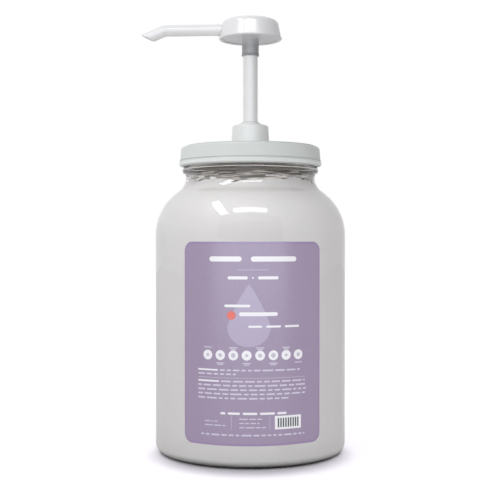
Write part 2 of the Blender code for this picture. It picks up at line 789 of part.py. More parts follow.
# ---------------------------------------------------------------- spout
def spout_path(start_x, reach):
    """Centre line of the spout: a slightly drooping run, a round bend and a short tip."""
    turn = SPOUT_TIP_SLOPE - SPOUT_DROOP
    lead = SPOUT_BEND_RADIUS * math.tan(turn / 2)
    bend_z = SPOUT_Z - (SPOUT_BEND_X - SPOUT_PIVOT_X) * math.tan(SPOUT_DROOP)
    start_z = SPOUT_Z + (SPOUT_PIVOT_X - start_x) * math.tan(SPOUT_DROOP)
    points = [(-start_x, 0, start_z)]
    centre_x = SPOUT_BEND_X - lead
    centre_z = bend_z + lead * math.sin(SPOUT_DROOP) - SPOUT_BEND_RADIUS
    for i in range(5):
        angle = SPOUT_DROOP + turn * i / 4
        x = centre_x + SPOUT_BEND_RADIUS * math.sin(angle)
        z = centre_z + SPOUT_BEND_RADIUS * math.cos(angle)
        points.append((-x, 0, z))
    run = (reach - SPOUT_BEND_X) / math.cos(SPOUT_TIP_SLOPE)
    end_x, _, end_z = points[-1]
    tip = (end_x - run * math.cos(SPOUT_TIP_SLOPE), 0, end_z - run * math.sin(SPOUT_TIP_SLOPE))
    return points + [tip]


def make_spout(plastic):
    spout = link(wire("spout_tube", spout_path(SPOUT_INNER_X, SPOUT_REACH + 4), SPOUT_RADIUS, 16), plastic)
    ferrule = side_rod("spout_ferrule", FERRULE_RADIUS, *FERRULE_X)
    ferrule.location.z -= (FERRULE_X[0] - SPOUT_PIVOT_X) * math.tan(SPOUT_DROOP) * MM
    boolean(spout, ferrule, "UNION")
    size = 8 * SPOUT_RADIUS
    sine, cosine = math.sin(SPOUT_CUT_SLOPE), math.cos(SPOUT_CUT_SLOPE)
    tip_z = SPOUT_Z - SPOUT_TIP_DROP
    centre = (-SPOUT_REACH - sine * size / 2, 0, tip_z - cosine * size / 2)
    knife = box_cutter("spout_tip_cut", (2 * size, size, size), centre, SPOUT_CUT_SLOPE)
    boolean(spout, knife, "DIFFERENCE")
    bore = link(wire("spout_bore", spout_path(SPOUT_INNER_X - 5, SPOUT_REACH + 14), SPOUT_BORE, 12))
    boolean(spout, bore, "DIFFERENCE")


# ---------------------------------------------------------------- build
clear_scene()
PARTS = new_collection("lotion_pump_jar")
CUTTERS = new_collection("cutters")

PUMP_WHITE = material("pump_white", (0.88, 0.88, 0.87), 0.25)
VALVE_WHITE = material("valve_white", (0.85, 0.85, 0.83), 0.4)
BALL_STEEL = material("ball_steel", (0.7, 0.7, 0.7), 0.12, 1.0)

make_jar()
make_lotion()
make_label()
make_lid()
make_seals()
make_cylinder(VALVE_WHITE)
make_dip_tube()
make_collar(PUMP_WHITE)
make_bush(VALVE_WHITE)
make_wiper()
make_inlet_valve(VALVE_WHITE, BALL_STEEL)
make_outlet_valve(VALVE_WHITE, BALL_STEEL)
make_spring()
make_piston(VALVE_WHITE)
make_stem(PUMP_WHITE)
make_head_core(PUMP_WHITE)
make_head_cap(PUMP_WHITE)
make_spout(PUMP_WHITE)
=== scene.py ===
import math
import random

import bmesh
import bpy
from mathutils import Matrix, Vector


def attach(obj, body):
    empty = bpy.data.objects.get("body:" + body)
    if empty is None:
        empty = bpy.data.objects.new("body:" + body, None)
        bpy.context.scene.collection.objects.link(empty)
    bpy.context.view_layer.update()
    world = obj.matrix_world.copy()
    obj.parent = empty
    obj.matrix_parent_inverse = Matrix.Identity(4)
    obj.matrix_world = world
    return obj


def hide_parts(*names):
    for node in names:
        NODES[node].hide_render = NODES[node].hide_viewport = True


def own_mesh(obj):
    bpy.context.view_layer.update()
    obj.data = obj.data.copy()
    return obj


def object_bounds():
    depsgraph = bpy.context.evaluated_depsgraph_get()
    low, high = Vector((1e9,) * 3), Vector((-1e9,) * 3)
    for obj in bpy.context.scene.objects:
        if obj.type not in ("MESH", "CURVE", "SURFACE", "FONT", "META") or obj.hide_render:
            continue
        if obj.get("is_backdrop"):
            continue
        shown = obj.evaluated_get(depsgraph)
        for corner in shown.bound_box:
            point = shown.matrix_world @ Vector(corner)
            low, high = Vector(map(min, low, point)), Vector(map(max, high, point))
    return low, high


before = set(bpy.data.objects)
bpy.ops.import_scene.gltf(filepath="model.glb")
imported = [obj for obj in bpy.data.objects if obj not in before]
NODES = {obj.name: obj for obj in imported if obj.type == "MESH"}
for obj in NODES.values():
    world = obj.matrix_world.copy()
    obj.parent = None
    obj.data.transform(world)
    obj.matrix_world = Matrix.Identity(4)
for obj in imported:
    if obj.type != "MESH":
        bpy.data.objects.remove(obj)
CAD_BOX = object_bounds()

# Sizes are in millimetres unless a name says otherwise. +Z is up, the label faces -Y and the spout
# points along -X.
MM = 0.001
FRONT = -math.pi / 2  # angle of the label's middle about the jar's axis
UP = Vector((0, 0, 1))

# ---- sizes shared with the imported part
JAR_RADIUS, GLASS_WALL, BODY_TOP_Z = 78.2, 3.0, 177.3
SHOULDER_RADIUS, NECK_FILLET, NECK_RADIUS = 43.7, 14.8, 53.1
FINISH_RADIUS, RIM_Z, RIM_ROUND = 53.2, 246.4, 1.1
BEAD_Z, BEAD_CENTRE_R, BEAD_ROUND = 230.6, 53.5, 2.7
LID_PITCH, JAR_THREAD_Z, JAR_THREAD_BEAD, LID_THREAD_BEAD = 5.08, 238.4, 1.5, 1.4
LID_TOP_Z, LID_PLATE, LID_BOTTOM_Z = 249.8, 2.0, 234.4
LID_TOP_RADIUS, LID_SKIRT_RADIUS, LID_BEAD_RADIUS, LID_INNER_RADIUS = 57.2, 58.0, 58.7, 55.3
LID_BEAD_TOP_Z, LID_HOLE_RADIUS = 237.4, 13.8
LABEL_LOW_Z, LABEL_HIGH_Z = 18.5, 172.5
COLLAR_BOTTOM_RADIUS, COLLAR_TOP_RADIUS, COLLAR_BORE = 16.0, 14.8, 13.9
COLLAR_TOP_Z, COLLAR_CONE_Z, COLLAR_HOLE_RADIUS = 268.2, 268.6, 7.8
STUB_TOP_Z, STUB_PITCH, STUB_THREAD_Z, STUB_THREAD_TURNS = 262.5, 4.0, 253.5, 1.5
COLLAR_THREAD_BEAD, BUSH_FLANGE_TOP_Z, WIPER_LIP_Z = 0.8, 264.3, 270.6
STEM_RADIUS, STEM_BORE, STEM_LOW_Z, STEM_TOP_Z = 6.05, 4.6, 228.0, 341.0
HUB_RADIUS, HUB_LOW_Z, BOSS_RADIUS = 6.95, 326.3, 5.8
CAP_RIM_Z, CAP_RIM_RADIUS, CAP_TOP_Z = 339.5, 25.7, 355.0
CAP_DOME, CAP_CORNER, CAP_WALL = 1.2, 4.7, 1.6
DISC_Z, DISC_RISE, DISC_THICKNESS = 339.9, 0.7, 1.8
SPOUT_Z, SPOUT_RADIUS, SPOUT_BORE, SPOUT_REACH, SPOUT_TIP_DROP = 347.3, 4.65, 3.3, 89.7, 4.5
SPOUT_BEND_X, SPOUT_BEND_RADIUS, SPOUT_INNER_X, SPOUT_PIVOT_X = 70.8, 9.0, 9.5, 17.0
SPOUT_DROOP, SPOUT_TIP_SLOPE, SPOUT_CUT_SLOPE = (math.radians(a) for a in (0.9, 23.4, 27.3))
FERRULE_RADIUS, FERRULE_X = 5.1, (26.0, 27.8)
SPRING_LOW_Z, SPRING_HIGH_Z, SPRING_RADIUS, SPRING_WIRE = 147.85, 223.95, 8.5, 0.75
SPRING_TURNS, SPRING_DEAD_PITCH, STROKE = 10, 1.9, 54.0
GAP = 0.3  # clearance between pieces that touch

# ---- sizes that only the look uses
BASE_THICKNESS, HEEL_RADIUS = 3.2, 7.4
JAR_SEGMENTS, KNURL_TEETH, KNURL_DEPTH = 384, 96, 0.45
# Band of the bearing ring that takes the near-black glass: painted contact shadow with a toothed top edge.
STIPPLE_SHADOW_HIGH_Z, STIPPLE_SHADOW_TOOTH, STIPPLE_SHADOW_INNER_RADIUS = 1.1, 0.9, 64.0
LABEL_HALF_ARC, LABEL_CORNER, LABEL_THICKNESS = 56.8, 7.2, 0.2
LABEL_FACE, LABEL_TURN = JAR_RADIUS + 0.25, math.radians(1.4)
LOTION_LEVEL_Z, BEAD_HIGHLIGHT_Z, STREAKS = 219.0, 231.3, 120
CAP_TOP_RADIUS, DISC_RADIUS = 23.4, 23.6


# ---- node materials
def set_inputs(node, values):
    """Set a node's inputs from a dictionary, with underscores for the spaces in their names."""
    for socket, value in values.items():
        node.inputs[socket.replace("_", " ")].default_value = value


def add_node(tree, kind, **values):
    made = tree.nodes.new("ShaderNode" + kind)
    set_inputs(made, values)
    return made


def wire(tree, *joins):
    """Join sockets, given as (node, output, node, input)."""
    for source, output, target, socket in joins:
        tree.links.new(source.outputs[output], target.inputs[socket])


def shader_of(mat):
    return mat.node_tree.nodes["Principled BSDF"]


def new_surface(name, colour, roughness, **uniform):
    """A material with one Principled shader, whose even values sit on the shader's own sockets."""
    made = bpy.data.materials.new(name)
    made.use_nodes = True
    set_inputs(shader_of(made), {"Base Color": (*colour, 1.0), "Roughness": roughness, **uniform})
    return made


def noise(mat, size_mm, detail=3.0, stretch=(1, 1, 1), roughness=0.5):
    """Noise with features of about size_mm in the piece's own space."""
    tree = mat.node_tree
    place = add_node(tree, "TexCoord")
    scale = add_node(tree, "Mapping", Scale=[s / (size_mm * MM) for s in stretch])
    made = add_node(tree, "TexNoise", Scale=1.0, Detail=detail, Roughness=roughness)
    wire(tree, (place, "Object", scale, "Vector"), (scale, "Vector", made, "Vector"))
    return made


def mottle(mat, source, darker, lighter):
    """Colour that wanders between two close tones with a node's first output."""
    tree = mat.node_tree
    ramp = add_node(tree, "ValToRGB")
    for stop, at, colour in zip(ramp.color_ramp.elements, (0.3, 0.7), (darker, lighter)):
        stop.position = at
        stop.color = (*colour, 1.0)
    wire(tree, (source, 0, ramp, "Fac"), (ramp, "Color", shader_of(mat), "Base Color"))


def uneven_gloss(mat, source, low, high):
    """Roughness that wanders between two values."""
    tree = mat.node_tree
    span = add_node(tree, "MapRange", From_Min=0.3, From_Max=0.7, To_Min=low, To_Max=high)
    wire(tree, (source, 0, span, "Value"), (span, "Result", shader_of(mat), "Roughness"))


def relief(mat, *sources):
    """Surface relief from (node, height in mm) pairs, each added to the one before."""
    tree, before = mat.node_tree, None
    for source, height in sources:
        bump = add_node(tree, "Bump", Strength=1.0, Distance=height * MM)
        wire(tree, (source, 0, bump, "Height"))
        if before:
            wire(tree, (before, "Normal", bump, "Normal"))
        before = bump
    wire(tree, (before, "Normal", shader_of(mat), "Normal"))


def tones(colour, spread):
    """A darker and a lighter tone of a colour."""
    return [c * (1 - spread) for c in colour], [c * (1 + spread) for c in colour]


def moulded(name, colour, roughness, spread=0.02, flow_mm=18.0, peel_mm=0.9, peel=0.004, **uniform):
    """Moulded plastic: faint flow clouds, uneven gloss and a fine orange peel."""
    mat = new_surface(name, colour, roughness, **uniform)
    mottle(mat, noise(mat, flow_mm, 2.0, (1, 1, 0.5)), *tones(colour, spread))
    uneven_gloss(mat, noise(mat, flow_mm * 0.4, 3.0), roughness * 0.85, roughness * 1.15)
    relief(mat, (noise(mat, flow_mm * 0.7, 1.0), peel * 3), (noise(mat, peel_mm, 2.0), peel))
    return mat


def make_core_plastic():
    """The head's underside: pale grey, darker than the pump's white plastic as painted shade under the
    head, with more painted shade darkening the hub below the floor of the head.
    """
    mat = moulded("core_plastic", (0.67, 0.67, 0.685), 0.34, 0.02, 9.0, 0.9, 0.004)
    tree, shader = mat.node_tree, shader_of(mat)
    clouds = shader.inputs["Base Color"].links[0].from_node
    place, split = add_node(tree, "TexCoord"), add_node(tree, "SeparateXYZ")
    # Painted shade: the hub's grey darkens towards its foot, below the floor of the head.
    hub_shade_share, shade_below_z = 0.52, HUB_LOW_Z + 7
    rise = add_node(tree, "MapRange", From_Min=shade_below_z * MM, From_Max=DISC_Z * MM, To_Min=hub_shade_share)
    darker = add_node(tree, "Mix", Factor=1.0)
    darker.data_type = "RGBA"
    darker.blend_type = "MULTIPLY"
    wire(tree, (clouds, "Color", darker, "A"), (place, "Object", split, "Vector"))
    wire(tree, (split, "Z", rise, "Value"), (rise, "Result", darker, "B"))
    wire(tree, (darker, "Result", shader, "Base Color"))
    return mat


def make_glass():
    """Clear soda glass with the slow waves of a moulded jar."""
    mat = new_surface("clear_glass", (0.975, 0.972, 0.968), 0.0, IOR=1.5, Transmission_Weight=1.0)
    relief(mat, (noise(mat, 34, 1.0, (1, 1, 0.6)), 0.16), (noise(mat, 11, 1.5), 0.075))
    return mat


def make_stippled_shadow_glass():
    """The bearing ring's stippled glass, painted near black as the contact shadow under the jar."""
    mat = new_surface("stippled_shadow_glass", (0.02, 0.02, 0.021), 0.5, IOR=1.5, Transmission_Weight=0.4)
    relief(mat, (noise(mat, 1.4, 2.0), 0.25))
    return mat


def make_cream():
    """Off-white lotion with soft clouds."""
    mat = new_surface("lotion_cream", (0.935, 0.92, 0.912), 0.42)
    mottle(mat, noise(mat, 45, 2.0), (0.925, 0.91, 0.90), (0.95, 0.937, 0.927))
    uneven_gloss(mat, noise(mat, 12, 2.0), 0.36, 0.5)
    relief(mat, (noise(mat, 9, 3.0), 0.12))
    return mat


def make_paper(name, colour, spread):
    """Coated label paper, or ink on it, with a fine grain."""
    mat = new_surface(name, colour, 0.34, Coat_Weight=0.5, Coat_Roughness=0.22)
    mottle(mat, noise(mat, 1.6, 4.0, (1, 1, 0.35), 0.65), *tones(colour, spread))
    relief(mat, (noise(mat, 0.35, 2.0), 0.004), (noise(mat, 14, 1.0), 0.02))
    return mat


def make_steel(name, roughness, streak):
    """Steel with fine drawing marks; streak stretches them along an axis."""
    mat = new_surface(name, (0.60, 0.60, 0.61), roughness, Metallic=1.0)
    drawn = noise(mat, 0.4, 3.0, streak)
    mottle(mat, noise(mat, 3.0, 2.0), (0.54, 0.54, 0.55), (0.64, 0.64, 0.65))
    uneven_gloss(mat, drawn, roughness * 0.7, roughness * 1.4)
    relief(mat, (drawn, 0.004))
    return mat


def make_foam():
    """Closed-cell liner foam."""
    mat = new_surface("liner_foam", (0.74, 0.66, 0.56), 0.8)
    tree, cell_mm = mat.node_tree, 0.5
    cells = add_node(tree, "TexVoronoi", Scale=1 / (cell_mm * MM))
    place = add_node(tree, "TexCoord")
    wire(tree, (place, "Object", cells, "Vector"))
    mottle(mat, noise(mat, 6, 3.0), (0.69, 0.61, 0.51), (0.78, 0.70, 0.60))
    relief(mat, (cells, 0.06))
    return mat


# Dried lotion for the streaks; the same colour paints the highlight line round the bead.
DRIED_CREAM_AND_HIGHLIGHT = moulded("dried_lotion_and_highlight", (0.80, 0.735, 0.67), 0.3, 0.06, 6.0, 0.6, 0.03)
GLASS = make_glass()
STIPPLED_SHADOW_GLASS = make_stippled_shadow_glass()
CREAM = make_cream()
PAPER = make_paper("label_paper", (0.342, 0.270, 0.396), 0.03)
PAPER_EDGE = make_paper("label_border", (0.325, 0.228, 0.41), 0.03)
INK_WHITE = make_paper("ink_white", (0.90, 0.88, 0.92), 0.015)
INK_SOFT = make_paper("ink_soft_white", (0.66, 0.61, 0.74), 0.03)
INK_GREY = make_paper("ink_grey_lilac", (0.56, 0.53, 0.62), 0.03)
INK_PALE = make_paper("ink_pale_lilac", (0.45, 0.385, 0.535), 0.03)
INK_CORAL = make_paper("ink_coral", (0.80, 0.13, 0.09), 0.04)
INK_DARK = make_paper("ink_dark_green", (0.05, 0.07, 0.06), 0.10)
LID_PLASTIC = moulded("lid_plastic", (0.71, 0.74, 0.718), 0.5, 0.02, 30.0, 0.7, 0.006)
# A lighter, glossier copy of the lid plastic for its bead: painted light.
LID_BEAD_PAINTED_LIGHT = moulded("lid_bead_painted_light", (0.81, 0.84, 0.815), 0.42, 0.02, 30.0, 0.7, 0.006)
CORE_PLASTIC = make_core_plastic()
PUMP_PLASTIC = moulded(
    "pump_plastic", (0.83, 0.825, 0.825), 0.23, 0.012, 22.0, 1.1, 0.0012, Coat_Weight=0.1
)
COLLAR_PLASTIC = moulded("collar_plastic", (0.82, 0.825, 0.81), 0.36, 0.015, 12.0, 0.8, 0.004)
VALVE_PLASTIC = moulded("valve_plastic", (0.74, 0.74, 0.72), 0.38, 0.03, 8.0)
SOFT_PLASTIC = moulded("soft_plastic", (0.78, 0.78, 0.77), 0.5, 0.03, 6.0, 0.5, 0.006)
GASKET = moulded("gasket_rubber", (0.62, 0.61, 0.57), 0.65, 0.05, 5.0, 0.3, 0.01)
TUBE_PLASTIC = moulded("tube_plastic", (0.74, 0.76, 0.76), 0.3, 0.03, 14.0)
SPRING_STEEL = make_steel("spring_steel", 0.28, (1, 1, 0.2))
BALL_STEEL = make_steel("ball_steel", 0.12, (1, 1, 1))
FOAM = make_foam()

CAD_FINISH = (
    (FOAM, "lid_liner"),
    (GASKET, "cylinder_gasket"),
    (TUBE_PLASTIC, "dip_tube"),
    (SOFT_PLASTIC, "upper_piston_seal", "lower_piston_seal"),
    (BALL_STEEL, "inlet_ball", "outlet_ball"),
    (VALVE_PLASTIC, "pump_cylinder", "stem_bush", "inlet_ball_cage"),
    (VALVE_PLASTIC, "piston_carrier", "outlet_valve_seat", "outlet_ball_cage"),
)


# ---- mesh helpers
def arc(centre_r, centre_z, radius, start, end, steps):
    """Points on an arc, with angles in degrees measured from +r towards +z."""
    angles = [math.radians(start + (end - start) * i / steps) for i in range(steps + 1)]
    return [(centre_r + radius * math.cos(a), centre_z + radius * math.sin(a)) for a in angles]


def polar(r, angle, z):
    """A point from its distance to the axis, its angle round it and its height."""
    return (r * math.cos(angle), r * math.sin(angle), z)


def ladder(r, start_z, end_z, rows):
    """Evenly spaced points on a straight wall."""
    return [(r, start_z + (end_z - start_z) * k / rows) for k in range(rows + 1)]


def rounded(steps, *corners):
    """Round the (r, z, radius) corners of an outline, with guard points that keep the flats flat."""
    points = []
    for i, (r, z, radius) in enumerate(corners):
        here = Vector((r, z))
        if not radius:
            points.append((r, z))
            continue
        before = Vector(corners[i - 1][:2]) - here
        after = Vector(corners[(i + 1) % len(corners)][:2]) - here
        half = before.angle(after) / 2
        reach = min(radius / math.tan(half), 0.42 * before.length, 0.42 * after.length)
        before.normalize()
        after.normalize()
        centre = here + (before + after).normalized() * (reach / math.cos(half))
        start, end = here + before * reach - centre, here + after * reach - centre
        points.append(tuple(centre + start + before * 0.15 * reach))
        points += [tuple(centre + start.slerp(end, k / steps)) for k in range(steps + 1)]
        points.append(tuple(centre + end + after * 0.15 * reach))
    return points


def add_object(name, data):
    """Put a mesh, lamp or camera into the scene."""
    made = bpy.data.objects.new(name, data)
    bpy.context.scene.collection.objects.link(made)
    return made


def mesh_piece(name, points_mm, faces, sharp_deg=35.0):
    """A smooth-shaded mesh object in the row frame, from points in millimetres."""
    mesh = bpy.data.meshes.new(name)
    mesh.from_pydata([[c * MM for c in p] for p in points_mm], [], faces)
    shell = bmesh.new()
    shell.from_mesh(mesh)
    bmesh.ops.recalc_face_normals(shell, faces=shell.faces)
    shell.to_mesh(mesh)
    shell.free()
    mesh.shade_smooth()
    mesh.set_sharp_from_angle(angle=math.radians(sharp_deg))
    return add_object(name, mesh)


def ring_faces(low, high):
    """Faces between two rows of point numbers round a ring; a row of one number is a pole."""
    count = max(len(low), len(high))
    faces = []
    for k in range(count):
        after = (k + 1) % count
        if len(low) == 1:
            faces.append((low[0], high[after], high[k]))
        elif len(high) == 1:
            faces.append((low[k], low[after], high[0]))
        else:
            faces.append((low[k], low[after], high[after], high[k]))
    return faces


def skin(rows, closed=False):
    """Faces over rows of point numbers, and from the last row to the first if closed."""
    pairs = list(zip(rows, rows[1:])) + ([(rows[-1], rows[0])] if closed else [])
    return [face for low, high in pairs for face in ring_faces(low, high)]


def lathe(name, outline, segments=128, warp=None, closed=True):
    """Turn an outline of (r, z) round the Z axis; warp(row, r, z, angle) may move each point."""
    points, rows = [], []
    for row, (r, z) in enumerate(outline):
        first = len(points)
        if r < 1e-6:
            points.append((0, 0, z))
        else:
            for k in range(segments):
                angle = math.tau * k / segments
                new_r, new_z = warp(row, r, z, angle) if warp else (r, z)
                points.append(polar(new_r, angle, new_z))
        rows.append(range(first, len(points)))
    return mesh_piece(name, points, skin(rows, closed))


def tube(name, stations, sides=32, closed=False):
    """A swept surface through rings of points; stations are (centre, across, up, radius, slide)."""
    points, rows = [], []
    for centre, across, up, radius, slide in stations:
        first = len(points)
        for k in range(sides):
            angle = math.tau * k / sides
            point = centre + (across * math.cos(angle) + up * math.sin(angle)) * radius
            points.append(slide(point) if slide else point)
        rows.append(range(first, len(points)))
    ends = [] if closed else [tuple(rows[0]), tuple(reversed(rows[-1]))]
    return mesh_piece(name, points, skin(rows, closed) + ends)


def carve(piece, steps):
    """Join or cut other shapes, given as (shape, operation), and keep the result as the piece's mesh."""
    for shape, operation in steps:
        cut = piece.modifiers.new(shape.name, "BOOLEAN")
        cut.operation = operation
        cut.solver = "EXACT"
        cut.object = shape
    bpy.context.view_layer.update()
    result = piece.evaluated_get(bpy.context.evaluated_depsgraph_get())
    mesh = bpy.data.meshes.new_from_object(result)
    piece.modifiers.clear()
    piece.data = mesh
    mesh.shade_smooth()
    mesh.set_sharp_from_angle(angle=math.radians(30))
    for shape, _ in steps:
        bpy.data.objects.remove(shape)


def side_rod(name, radius, from_x, to_x, sides=48):
    """A round bar along -X at the spout's height."""
    across = Vector((0, 1, 0))
    ends = [Vector((-x, 0, SPOUT_Z)) for x in (from_x, to_x)]
    return tube(name, [(end, across, UP, radius, None) for end in ends], sides)


def place(piece, body, slot, paint, *nodes):
    """Give a piece its paint and its CAD body, and hide the nodes it stands for; slot is not used."""
    for one in paint if isinstance(paint, (list, tuple)) else [paint]:
        piece.data.materials.append(one)
    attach(piece, body)
    if nodes:
        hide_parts(*nodes)
    return piece


def helix_bump(angle, z, start_z, pitch, bead, turns=1.0):
    """Height of a screw thread above its wall, thinned out over an eighth of a turn at both ends."""
    height = 0.0
    for lap in range(-1, int(turns) + 2):
        turn = angle / math.tau + lap
        if not 0 <= turn <= turns:
            continue
        offset = (z - start_z - pitch * turn) / (bead * 1.15)
        if abs(offset) < 1:
            ends = min(1.0, 8 * min(turn, turns - turn))
            height = max(height, bead * ends * math.cos(math.pi / 2 * offset) ** 2)
    return height


def inner_thread(rows, start_z, pitch, bead, turns=1.0):
    """A warp for lathe that raises a thread inwards from the given rows of a wall."""

    def warp(row, r, z, angle):
        return (r - helix_bump(angle, z, start_z, pitch, bead, turns), z) if row in rows else (r, z)

    return warp


# ---- glass jar
def shoulder_angle():
    """Angle, in degrees, at which the shoulder's arc meets the neck's fillet."""
    span = SHOULDER_RADIUS + NECK_FILLET
    return math.degrees(math.acos(1 - (JAR_RADIUS - NECK_RADIUS) / span))


WAIST_Z = BODY_TOP_Z + (SHOULDER_RADIUS + NECK_FILLET) * math.sin(math.radians(shoulder_angle()))


def jar_side(inset):
    """Heel, wall, shoulder and neck fillet of the jar, bottom to top, moved inwards by inset."""
    angle = shoulder_angle()
    heel = HEEL_RADIUS - 1.3 * inset
    floor = BASE_THICKNESS / GLASS_WALL * inset
    side = arc(JAR_RADIUS - inset - heel, floor + heel, heel, -90, 0, 14)
    side += ladder(JAR_RADIUS - inset, floor + heel, BODY_TOP_Z, 8)[1:-1]
    side += arc(JAR_RADIUS - SHOULDER_RADIUS, BODY_TOP_Z, SHOULDER_RADIUS - inset, 0, angle, 24)
    side += arc(NECK_RADIUS + NECK_FILLET, WAIST_Z, NECK_FILLET + inset, 180 + angle, 180, 12)[1:]
    return side


def neck_radius(z, inset):
    """Radius of the neck's wall at a height, moved inwards by inset."""
    if z >= WAIST_Z:
        return NECK_RADIUS - inset
    bend = NECK_FILLET + inset
    return NECK_RADIUS + NECK_FILLET - math.sqrt(bend * bend - (WAIST_Z - z) ** 2)


def make_jar():
    """The jar, from the middle of its inner floor up to the rim, down outside and under the foot."""
    inner = NECK_RADIUS - GLASS_WALL
    inside = [(r, BASE_THICKNESS + rise) for r, rise in ((0, 1.2), (20, 1.1), (42, 0.5))]
    inside += jar_side(GLASS_WALL)
    inside += [(inner, z) for z in (230, 235, 240, 245)] + [(inner + 0.1, RIM_Z - 0.9)]
    mouth = arc(inner + 1.1, RIM_Z - 1.0, 1.0, 160, 90, 4)
    mouth += arc(FINISH_RADIUS - RIM_ROUND, RIM_Z - RIM_ROUND, RIM_ROUND, 90, 0, 5)
    top, low = RIM_Z - RIM_ROUND - 0.2, BEAD_Z + BEAD_ROUND + 0.5
    finish = ladder(FINISH_RADIUS, top, low, 34)
    bead = arc(BEAD_CENTRE_R, BEAD_Z, BEAD_ROUND, 84, -84, 14)
    outside = jar_side(0)[::-1]
    bearing = [(70.6, 0.0), (69.0, 0.25), (66.5, 0.9), (62.0, 1.3), (44.0, 1.8), (22.0, 2.0), (0, 2.1)]
    outline = inside + mouth + finish + bead + outside + bearing
    thread_rows = range(len(inside + mouth), len(inside + mouth + finish))
    heel_last = len(inside + mouth + finish + bead + outside) - 1
    knurl_rows = range(heel_last - 5, heel_last + 3)

    def warp(row, r, z, angle):
        if row in thread_rows:
            return r + helix_bump(angle, z, JAR_THREAD_Z, LID_PITCH, JAR_THREAD_BEAD), z
        if row in knurl_rows:
            return r, z + KNURL_DEPTH * max(0.0, math.sin(KNURL_TEETH * angle)) ** 2
        return r, z

    jar = lathe("jar_glass", outline, JAR_SEGMENTS, warp, closed=False)
    place(jar, "jar", "glass", [GLASS, STIPPLED_SHADOW_GLASS], "glass_jar")
    # Painted contact shadow: the bearing ring's faces take the near-black stippled glass.
    for face in jar.data.polygons:
        x, y, z = face.center / MM
        segment = int((math.atan2(y, x) + math.pi) / math.tau * JAR_SEGMENTS)
        tooth = STIPPLE_SHADOW_TOOTH * (segment % 2)
        if z < STIPPLE_SHADOW_HIGH_Z + tooth and math.hypot(x, y) > STIPPLE_SHADOW_INNER_RADIUS:
            face.material_index = 1
    # Clear glass lets the lamps' light through to the lotion.
    jar.visible_shadow = False


# ---- lotion
def fill_wave(angle):
    """How far the lotion's edge climbs or sags on the glass, round the neck."""
    a = angle - FRONT
    wave = 0.9 * math.sin(2 * a + 0.9) + 1.1 * math.sin(4 * a - 1.1)
    return wave + 0.9 * math.sin(9 * a + 0.5) + 0.5 * math.sin(17 * a + 2.0) + 0.3 * math.sin(31 * a)


def make_lotion():
    """The fill: its side on the glass, its wavy edge, its top and the wells for the pump and tube."""
    overlap = GLASS_WALL - 0.15
    wall = [p for p in jar_side(overlap) if p[1] < LOTION_LEVEL_Z - 6]
    edge_rows = 12
    climb = [(1, LOTION_LEVEL_Z - 5 + 6.5 * k / edge_rows) for k in range(edge_rows + 1)]
    # The lip's rows as (distance in from the glass, height over the edge, share of the edge's wave).
    lip = [(0.35, 0.12, 1.0), (0.9, -0.1, 0.95), (1.7, -0.7, 0.7)]
    lip += [(3.2, -1.3, 0.3), (6, -1.5, 0), (16, -1.5, 0)]
    well_r, dip_r, socket_r = 13.6, 6.1, 8.2
    well = [(well_r + out, LOTION_LEVEL_Z + up) for out, up in ((2.5, 0), (0.8, 0.5), (0, 1.0))]
    well += [(well_r, 180), (well_r, 141), (socket_r, 130), (socket_r, 110)]
    well += [(dip_r, 110), (dip_r, 11), (0, 11)]
    outline = [(0, wall[0][1])] + wall + climb + [(1, 0)] * len(lip) + well
    first_climb = 1 + len(wall)
    first_lip = first_climb + len(climb)

    def warp(row, r, z, angle):
        if first_climb <= row < first_lip:
            share = (row - first_climb) / edge_rows
            new_z = z + fill_wave(angle) * share
            return neck_radius(new_z, overlap), new_z
        if first_lip <= row < first_lip + len(lip):
            inward, drop, follow = lip[row - first_lip]
            new_z = LOTION_LEVEL_Z + 1.5 + drop + fill_wave(angle) * follow
            return neck_radius(max(new_z, LOTION_LEVEL_Z - 3), overlap) - inward, new_z
        return r, z

    lotion = lathe("lotion_body", outline, 256, warp, closed=False)
    return place(lotion, "jar", "lotion", CREAM, "lotion_fill")


def smear(points, faces, angle, z, width, height, depth, tilt, phase):
    """A flattened drop of lotion on the inner wall of the neck."""
    around, along = 28, 9
    rows = []
    inner = GLASS_WALL - 0.12
    for i in range(along + 1):
        latitude = math.pi * i / along
        first = len(points)
        if i in (0, along):
            rows.append([first])
        else:
            rows.append(range(first, first + around))
        for k in range(1 if i in (0, along) else around):
            turn = math.tau * k / around
            ragged = 1 + 0.22 * math.sin(3 * turn + phase) + 0.12 * math.sin(7 * turn + 2 * phase)
            flat = math.sin(latitude) * ragged
            u, v = width / 2 * flat * math.cos(turn), height / 2 * flat * math.sin(turn)
            here_z = z + v + tilt * u
            face = math.cos(latitude)
            r = neck_radius(here_z, inner) - depth * max(0.0, face) + 0.1 * min(0.0, face)
            a = angle + u / neck_radius(z, inner)
            points.append(polar(r, a, here_z))
    faces += skin(rows)


def bead_highlight_line(points, faces):
    """A thin uneven pale line round the outside of the neck's bead, close under the lid: a painted
    highlight along the bead.
    """
    around = 240
    # The line's section as (share of its half height, lift off the bead).
    section = ((-1.0, -0.06), (-0.5, 0.08), (0.0, 0.12), (0.5, 0.08), (1.0, -0.06), (0.0, -0.12))
    first = len(points)
    for k in range(around):
        a = math.tau * k / around
        half = 0.26 + 0.07 * math.sin(5 * a + 1) + 0.05 * math.sin(13 * a)
        middle = BEAD_HIGHLIGHT_Z + 0.12 * math.sin(3 * a + 0.5)
        for up, out in section:
            z = middle + half * up
            r = BEAD_CENTRE_R + math.sqrt(BEAD_ROUND**2 - (z - BEAD_Z) ** 2) + out
            points.append(polar(r, a, z))
    size = len(section)
    for k in range(around):
        here, ahead = first + k * size, first + (k + 1) % around * size
        for j in range(size):
            faces.append((here + j, ahead + j, ahead + (j + 1) % size, here + (j + 1) % size))


